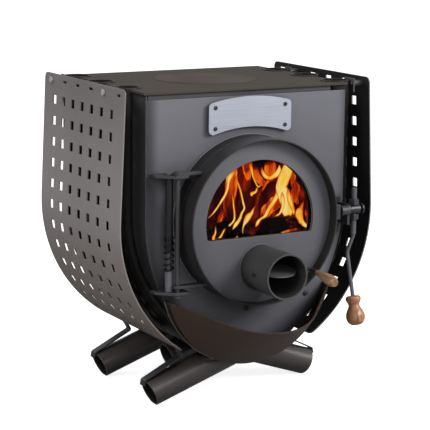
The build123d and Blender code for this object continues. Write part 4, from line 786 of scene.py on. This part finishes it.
# Each flame: name, kind, depth, and its middle line from foot to tip as (x, z, half width).
# x and z are measured on the window from the door's centre.
FLAMES = [
    ("column", "column", -52, [
        (62, 3, 7.1), (62, 14, 11.1), (62, 28, 11.1), (55, 45, 11.8), (46, 62, 10.7), (50, 78, 11.8),
        (58, 94, 11.8), (62, 107, 9.3), (62, 117, 5.4),
    ]),
    ("column_left", "bright", -44, [
        (-11, -11, 1.4), (-8, -5, 3.6), (0, 4, 2.5), (11, 10, 3.9), (20, 24, 4.3), (31, 37, 4.6),
        (39, 51, 5.4), (40, 66, 6.1), (44, 79, 6.1), (44, 90, 3.6),
    ]),
    ("infill", "orange", -30, [
        (2, 3, 4.3), (11, 15, 10.7), (24, 27, 11.8), (36, 36, 12.5), (45, 51, 10.7), (44, 66, 7.1),
        (40, 76, 3.6),
    ]),
    ("foot_left", "bright", -56, [(34, 7, 1.1), (44, 12, 2.5), (51, 25, 3.2), (50, 42, 4.3), (48, 55, 3.6)]),
    ("foot_right", "bright", -56, [(77, 6, 1.8), (74, 18, 3.9), (68, 32, 5.4), (64, 47, 4.6), (62, 61, 3.6)]),
    ("lobe_right", "orange", -66, [
        (87, 27, 1.8), (80, 39, 6.1), (78, 51, 9.3), (82, 59, 7.9), (74, 70, 6.1), (73, 82, 3.9),
        (76, 91, 2.1),
    ]),
    ("lobe_up", "orange", -50, [(70, 66, 0.9), (73, 78, 5.4), (75, 88, 4.3), (70, 98, 4.3), (64, 108, 3.6)]),
    ("tongue", "bright", -96, [
        (115, -25, 1.1), (105, -18, 3.6), (95, -9, 6.1), (90, 4, 8.2), (90, 12, 8.2), (95, 23, 4.6),
        (102, 36, 0.5),
    ]),
    ("tongue_edge", "orange", -92, [(118, -26, 1.8), (111, -10, 3.2), (108, 4, 4.3), (102, 18, 1.8)]),
    ("arch", "bright", -40, [
        (41, 108, 1.1), (39, 96, 5.4), (30, 88, 5.4), (19, 84, 4.3), (8, 90, 4.6), (2, 100, 3.9),
        (1, 109, 1.1),
    ]),
    ("ball", "orange", -34, [(23, 88, 3.6), (22, 98, 10.7), (21, 108, 11.4), (19, 118, 8.9)]),
    ("orange_left", "orange", -20, [
        (10, 71, 3.6), (-1, 80, 6.4), (-10, 91, 6.1), (-12, 103, 5.4), (-12, 112, 3.6),
    ]),
    ("string", "bright", -36, [
        (0, 71, 0.9), (-7, 69, 1.8), (-13, 78, 1.4), (-18, 88, 1.8), (-21, 100, 2.9), (-25, 113, 4.6),
        (-27, 123, 3.6),
    ]),
    ("string_body", "orange", -26, [(-28, 82, 3.6), (-30, 99, 7.9), (-31, 114, 10), (-30, 123, 7.1)]),
    ("curl", "bright", -36, [(-21, 51, 1.4), (-20, 57, 4.3), (-12, 59, 2.5), (-9, 66, 2.1), (0, 71, 0.9)]),
    ("sweep", "orange", -32, [(2, 59, 1.1), (7, 67, 2.1), (14, 76, 2.5), (25, 81, 2.9), (36, 76, 2.1)]),
    ("left_body", "veil", -10, [
        (-75, -9, 2.9), (-66, 5, 7.9), (-68, 25, 11.1), (-72, 43, 11.8), (-68, 64, 11.4), (-67, 82, 11.8),
        (-65, 97, 9.3), (-60, 108, 5.4),
    ]),
    ("left_inner", "veil", -16, [
        (-63, 25, 2.5), (-66, 41, 5.4), (-68, 58, 7.9), (-67, 74, 7.9), (-65, 90, 7.9), (-62, 101, 7.1),
        (-60, 111, 3.6),
    ]),
    ("left_edge", "bright", -20, [
        (-117, 16, 0.9), (-105, 26, 1.6), (-92, 42, 2.1), (-81, 57, 2.7), (-75, 71, 3), (-73, 86, 3.9),
        (-67, 96, 5.4), (-58, 104, 4.3), (-54, 112, 2.5),
    ]),
    ("left_mid", "bright", -22, [
        (-79, -9, 1.1), (-69, -2, 2.1), (-60, 7, 2.3), (-59, 18, 2), (-61, 34, 1.6), (-63, 51, 1.4),
        (-65, 64, 0.9),
    ]),
    ("left_second", "bright", -26, [
        (-63, -11, 1.1), (-56, -3, 3.9), (-47, 9, 3.6), (-43, 19, 2.7), (-37, 29, 2), (-41, 44, 2.1),
        (-45, 59, 2.3), (-50, 74, 2.3), (-56, 88, 2.9), (-58, 101, 2.1),
    ]),
    ("blob", "bright", -46, [
        (-40, -21, 0.7), (-39, -8, 1.4), (-32, 5, 6.4), (-27, 12, 7.1), (-20, 18, 3.9), (-16, 26, 1.8),
        (-9, 34, 0.7),
    ]),
    ("small_one", "bright", -88, [(-105, -29, 3.2), (-105, -22, 3.6), (-101, -14, 2), (-101, 1, 0.5)]),
    ("small_two", "bright", -86, [(-100, -31, 2.9), (-90, -24, 2.5), (-83, -13, 1.8), (-78, -7, 0.9)]),
    ("dim_left", "dull", -4, [
        (-97, -8, 2.1), (-90, 11, 7.1), (-84, 27, 8.9), (-81, 43, 7.1), (-78, 55, 2.9),
    ]),
    ("dim_left_edge", "orange", -8, [
        (-95, -4, 0.7), (-88, 11, 1.2), (-83, 26, 1.4), (-81, 43, 1.4), (-78, 52, 0.9),
    ]),
    ("spark_one", "bright", -86, [(-57, -32, 1.1), (-54, -28, 1.4), (-50, -24, 0.5)]),
    ("spark_two", "bright", -86, [(-42, -30, 0.9), (-39, -32, 2.1), (-34, -33, 0.7)]),
    ("spark_three", "bright", -78, [(-10, -32, 1.1), (-7, -31, 2.7), (-2, -31, 0.9)]),
    ("bed_glow", "orange", -88, [
        (30, -33, 1.5), (48, -31, 3.5), (66, -28, 4.5), (84, -26, 4.5), (94, -25, 2),
    ]),
    ("streak", "bright", -90, [(29, -33, 0.9), (41, -31, 2.1), (52, -28, 1.6), (60, -26, 0.7)]),
    ("dull_right", "dull", -72, [
        (104, -23, 7.1), (111, 0, 10.7), (107, 27, 12.5), (93, 52, 12.5), (84, 76, 8.9),
    ]),
    ("dull_top", "dull", 0, [(-44, 62, 10.7), (-37, 82, 12.5), (-41, 100, 10.7)]),
]
FLAME_STEPS = 6
FLAME_STRIPS = 6
# The widths above are of the part that glows, so the ribbon reaches further
FLAME_SPREAD = 1.3
# A ribbon bows towards the door, fully where its half width is this or more
FLAME_BOW, FULL_BOW_WIDTH = 5.0, 8.0

ribbons = {}
for name, kind, depth, middle in FLAMES:
    line = soft_line(middle, FLAME_STEPS)
    last = len(line) - 1
    ribbon = added(
        bpy.ops.mesh.primitive_grid_add, "flame_" + name, flame_kinds[kind],
        x_subdivisions=FLAME_STRIPS, y_subdivisions=last, size=1.0, calc_uvs=True,
    )
    for vertex in ribbon.data.vertices:
        k = round((vertex.co.y + 0.5) * last)
        side = vertex.co.x * 2
        before, beyond = line[max(k - 1, 0)], line[min(k + 1, last)]
        run = Vector((beyond[0] - before[0], beyond[1] - before[1])).normalized()
        x, z, half = line[k]
        reach = side * half * FLAME_SPREAD
        bow = FLAME_BOW * min(half / FULL_BOW_WIDTH, 1.0) * (1 - side * side)
        vertex.co = behind(x + run.y * reach, z - run.x * reach, depth - bow)
    ribbon.data.update()
    bpy.ops.object.shade_smooth()
    ribbons.setdefault(kind, []).append(ribbon)
for kind, strips in ribbons.items():
    placed(lights_nothing(joined(strips, kind + "_flames")))

# Dark red glow behind the flames, partly smoke and partly painted firelight on the firebox's back: a waved
# sheet that comes forward on the right, where the tubes stand nearer
HAZE_COLUMNS, HAZE_ROWS = 24, 16
HAZE_LEFT, HAZE_WIDTH = -150, 280
HAZE_FOOT, HAZE_HEIGHT = -75, 202
HAZE_DEPTH, HAZE_FORWARD, HAZE_WAVE = 45, 120, 5
sheet = added(
    bpy.ops.mesh.primitive_grid_add, "fire_haze_and_firelight", haze_and_firelight,
    x_subdivisions=HAZE_COLUMNS, y_subdivisions=HAZE_ROWS, size=1.0, calc_uvs=True,
)
for vertex in sheet.data.vertices:
    across, up = vertex.co.x + 0.5, vertex.co.y + 0.5
    depth = HAZE_DEPTH - HAZE_FORWARD * across ** 2 + HAZE_WAVE * math.sin(9 * up + 4 * across)
    vertex.co = behind(HAZE_LEFT + HAZE_WIDTH * across, HAZE_FOOT + HAZE_HEIGHT * up, depth)
sheet.data.update()
bpy.ops.object.shade_smooth()
placed(lights_nothing(sheet))


def split_log(name, start, end, radius, seed, flat=0.5):
    """Split firewood: a round log with one face split off, its bark and split left rough.

    flat is how far out from the middle the split face lies, as a part of the radius."""
    start, end = Vector(start), Vector(end)
    piece = added(
        bpy.ops.mesh.primitive_cylinder_add, name, char,
        vertices=24, radius=radius * MM, depth=(end - start).length * MM,
    )
    bpy.ops.object.mode_set(mode="EDIT")
    bpy.ops.mesh.select_all(action="SELECT")
    bpy.ops.mesh.bisect(
        plane_co=(radius * flat * MM, 0, 0), plane_no=(1, 0.25, 0), use_fill=True, clear_outer=True,
    )
    bpy.ops.object.mode_set(mode="OBJECT")
    applied(piece, "REMESH", mode="VOXEL", voxel_size=3.5 * MM)
    roughened(piece, 3.4, 16, seed)
    piece.rotation_euler = (end - start).to_track_quat("Z", "Y").to_euler()
    piece.location = (start + end) / 2 * MM
    return placed(settled(piece))


BASE_LOG_R, BASE_LOG_Z = 30.0, 289.0
BASE_LOG_FRONT, BASE_LOG_BACK = -74, 205
for k, (x, lean) in enumerate(((-104, 8), (-36, -6), (36, 5), (106, -8))):
    split_log(
        f"base_log_{k + 1}", (x, BASE_LOG_FRONT, BASE_LOG_Z), (x + lean, BASE_LOG_BACK, BASE_LOG_Z - 4),
        BASE_LOG_R, k + 3, 0.7,
    )
split_log("front_log", (62, -66, 336), (147, -58, 334), 18, 9, 0.8)
split_log("left_log", (-128, -36, 330), (-28, -58, 325), 15, 12)
split_log("middle_log", (-22, -22, 330), (70, 30, 330), 15, 15)
split_log("rear_log", (-110, 70, 334), (90, 100, 338), 22, 21)


def lumps(name, places, radius, seed, voxel):
    """Heap of burnt-through wood: many rough lumps melted into one body. voxel is how finely it is meshed."""
    parts = []
    for k, (x, y, z) in enumerate(places):
        lump = added(
            bpy.ops.mesh.primitive_ico_sphere_add, f"lump_{k}", embers,
            subdivisions=2, radius=radius * random.uniform(0.75, 1.15) * MM,
            location=(x * MM, y * MM, z * MM),
            rotation=(random.uniform(0, 3), random.uniform(0, 3), 0),
            scale=(1.0, random.uniform(0.7, 1.2), 0.75),
        )
        parts.append(lump)
    heap = joined(parts, name)
    settled(heap)
    applied(heap, "REMESH", mode="VOXEL", voxel_size=voxel * MM)
    roughened(heap, 2.2, 11, seed)
    shaded_smooth(50)
    return placed(lights_nothing(heap))


BED_STEP = 21
BED_Z = 238
lumps("ember_bed", [
    (x + random.uniform(-4, 4), y + random.uniform(-4, 4), BED_Z + random.uniform(-4, 5))
    for x in range(-112, 120, BED_STEP) for y in range(-66, 230, BED_STEP)
], 17, 5, 4.5)
lumps("loose_embers", [
    (104 + 7 * k, -74 + 1.5 * k, 318 + random.uniform(-2, 2)) for k in range(6)
], 7, 8, 2.0)


# Woven seals and the spring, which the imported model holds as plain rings

ROPE_R, ROPE_Y = 155.5, -140.3
STRANDS = 3
STRAND_R, STRAND_OFF = 2.35, 2.05
ROPE_TWISTS, TWIST_STEPS = 46, 10
# The rope is a little deeper than wide, as in its channel
ROPE_DEEPER = 1.2
rope_steps = ROPE_TWISTS * TWIST_STEPS
strands = []
for strand in range(STRANDS):
    run = []
    for k in range(rope_steps):
        turn = FULL_TURN * k / rope_steps
        lay = turn * ROPE_TWISTS + FULL_TURN * strand / STRANDS
        r = ROPE_R + STRAND_OFF * math.cos(lay)
        y = ROPE_Y + ROPE_DEEPER * STRAND_OFF * math.sin(lay)
        run.append((r * math.cos(turn), y, DOOR_Z + r * math.sin(turn)))
    strands.append(tube_along(f"strand_{strand}", run, STRAND_R, rope_fibre, closed=True, sides=2))
rope = joined(strands, "door_rope")
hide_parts("rope_seal")
placed(rope, "door")


def own_copy(node_name, name, finish):
    """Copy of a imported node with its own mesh, its doubled corners merged."""
    source = nodes[node_name]
    piece = source.copy()
    piece.data = source.data.copy()
    piece.name = name
    piece.parent = None
    bpy.context.scene.collection.objects.link(piece)
    chosen(piece)
    bpy.ops.object.mode_set(mode="EDIT")
    bpy.ops.mesh.select_all(action="SELECT")
    bpy.ops.mesh.remove_doubles(threshold=0.01 * MM)
    bpy.ops.object.mode_set(mode="OBJECT")
    return coated(piece, finish)


tape = own_copy("window_gasket", "window_tape", tape_fibre)
applied(tape, "BEVEL", width=0.5 * MM, segments=2, limit_method="ANGLE", angle_limit=math.radians(40))
shaded_smooth(50)
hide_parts("window_gasket")
placed(tape, "door")

SPRING_R, WIRE_R = 9.0, 1.7
SPRING_LOW, SPRING_HIGH = 283.0 + WIRE_R, 348.0
SPRING_TURNS, COIL_STEPS = 6.5, 28
# The first and last tenth of the wire lie flat, as on a ground spring
SPRING_FLAT = 0.1
coil = []
for k in range(int(SPRING_TURNS * COIL_STEPS) + 1):
    done = k / (SPRING_TURNS * COIL_STEPS)
    rise = min(max((done - SPRING_FLAT) / (1 - 2 * SPRING_FLAT), 0.0), 1.0)
    turn = FULL_TURN * SPRING_TURNS * done
    coil.append((
        SPRING_BOLT[0] + SPRING_R * math.cos(turn),
        SPRING_BOLT[1] + SPRING_R * math.sin(turn),
        SPRING_LOW + (SPRING_HIGH - SPRING_LOW) * rise,
    ))
spring = tube_along("closing_spring", coil, WIRE_R, spring_steel)
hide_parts("hinge_spring")
placed(spring)


# Weld beads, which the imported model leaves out


def ring(radius, y, z, steps, start=0.0, sweep=FULL_TURN):
    """Points round the Y axis, from an angle that is measured from +X towards +Z."""
    return [
        (radius * math.cos(start + sweep * k / steps), y, z + radius * math.sin(start + sweep * k / steps))
        for k in range(steps if sweep == FULL_TURN else steps + 1)
    ]


def bead(name, points, radius, finish, body="stove", closed=True):
    """Weld bead along a joint, with the overlapping ripples that the torch leaves."""
    piece = tube_along(name, points, radius, finish, closed)
    return placed(roughened(piece, 0.35 * radius, 3.2, len(points)), body)


# How far the middle of a bead stands off the corner that it fills, for a heavy and a light weld
HEAVY, LIGHT = 0.8, 0.6
bead("collar_weld", ring(DOOR_R + HEAVY, FRONT_Y - HEAVY, DOOR_Z, 260), 2.0, front_paint)
bead("pipe_weld", ring(PIPE_R + LIGHT, FACE_Y - LIGHT, PIPE_Z, 110), 1.7, door_paint, "door")
# The lip's joint runs under the opening, from its left end to its right one
LIP_START, LIP_SWEEP = math.radians(-166), math.radians(152)
bead(
    "lip_weld", ring(LIP_R, FRONT_Y - HEAVY, LIP_Z, 150, LIP_START, LIP_SWEEP), 1.9,
    weld_highlight_paint, closed=False,
)
bead("flue_weld", ring(FLUE_R + LIGHT, REAR_Y + LIGHT, FLUE_Z, 120), 1.9, body_paint)
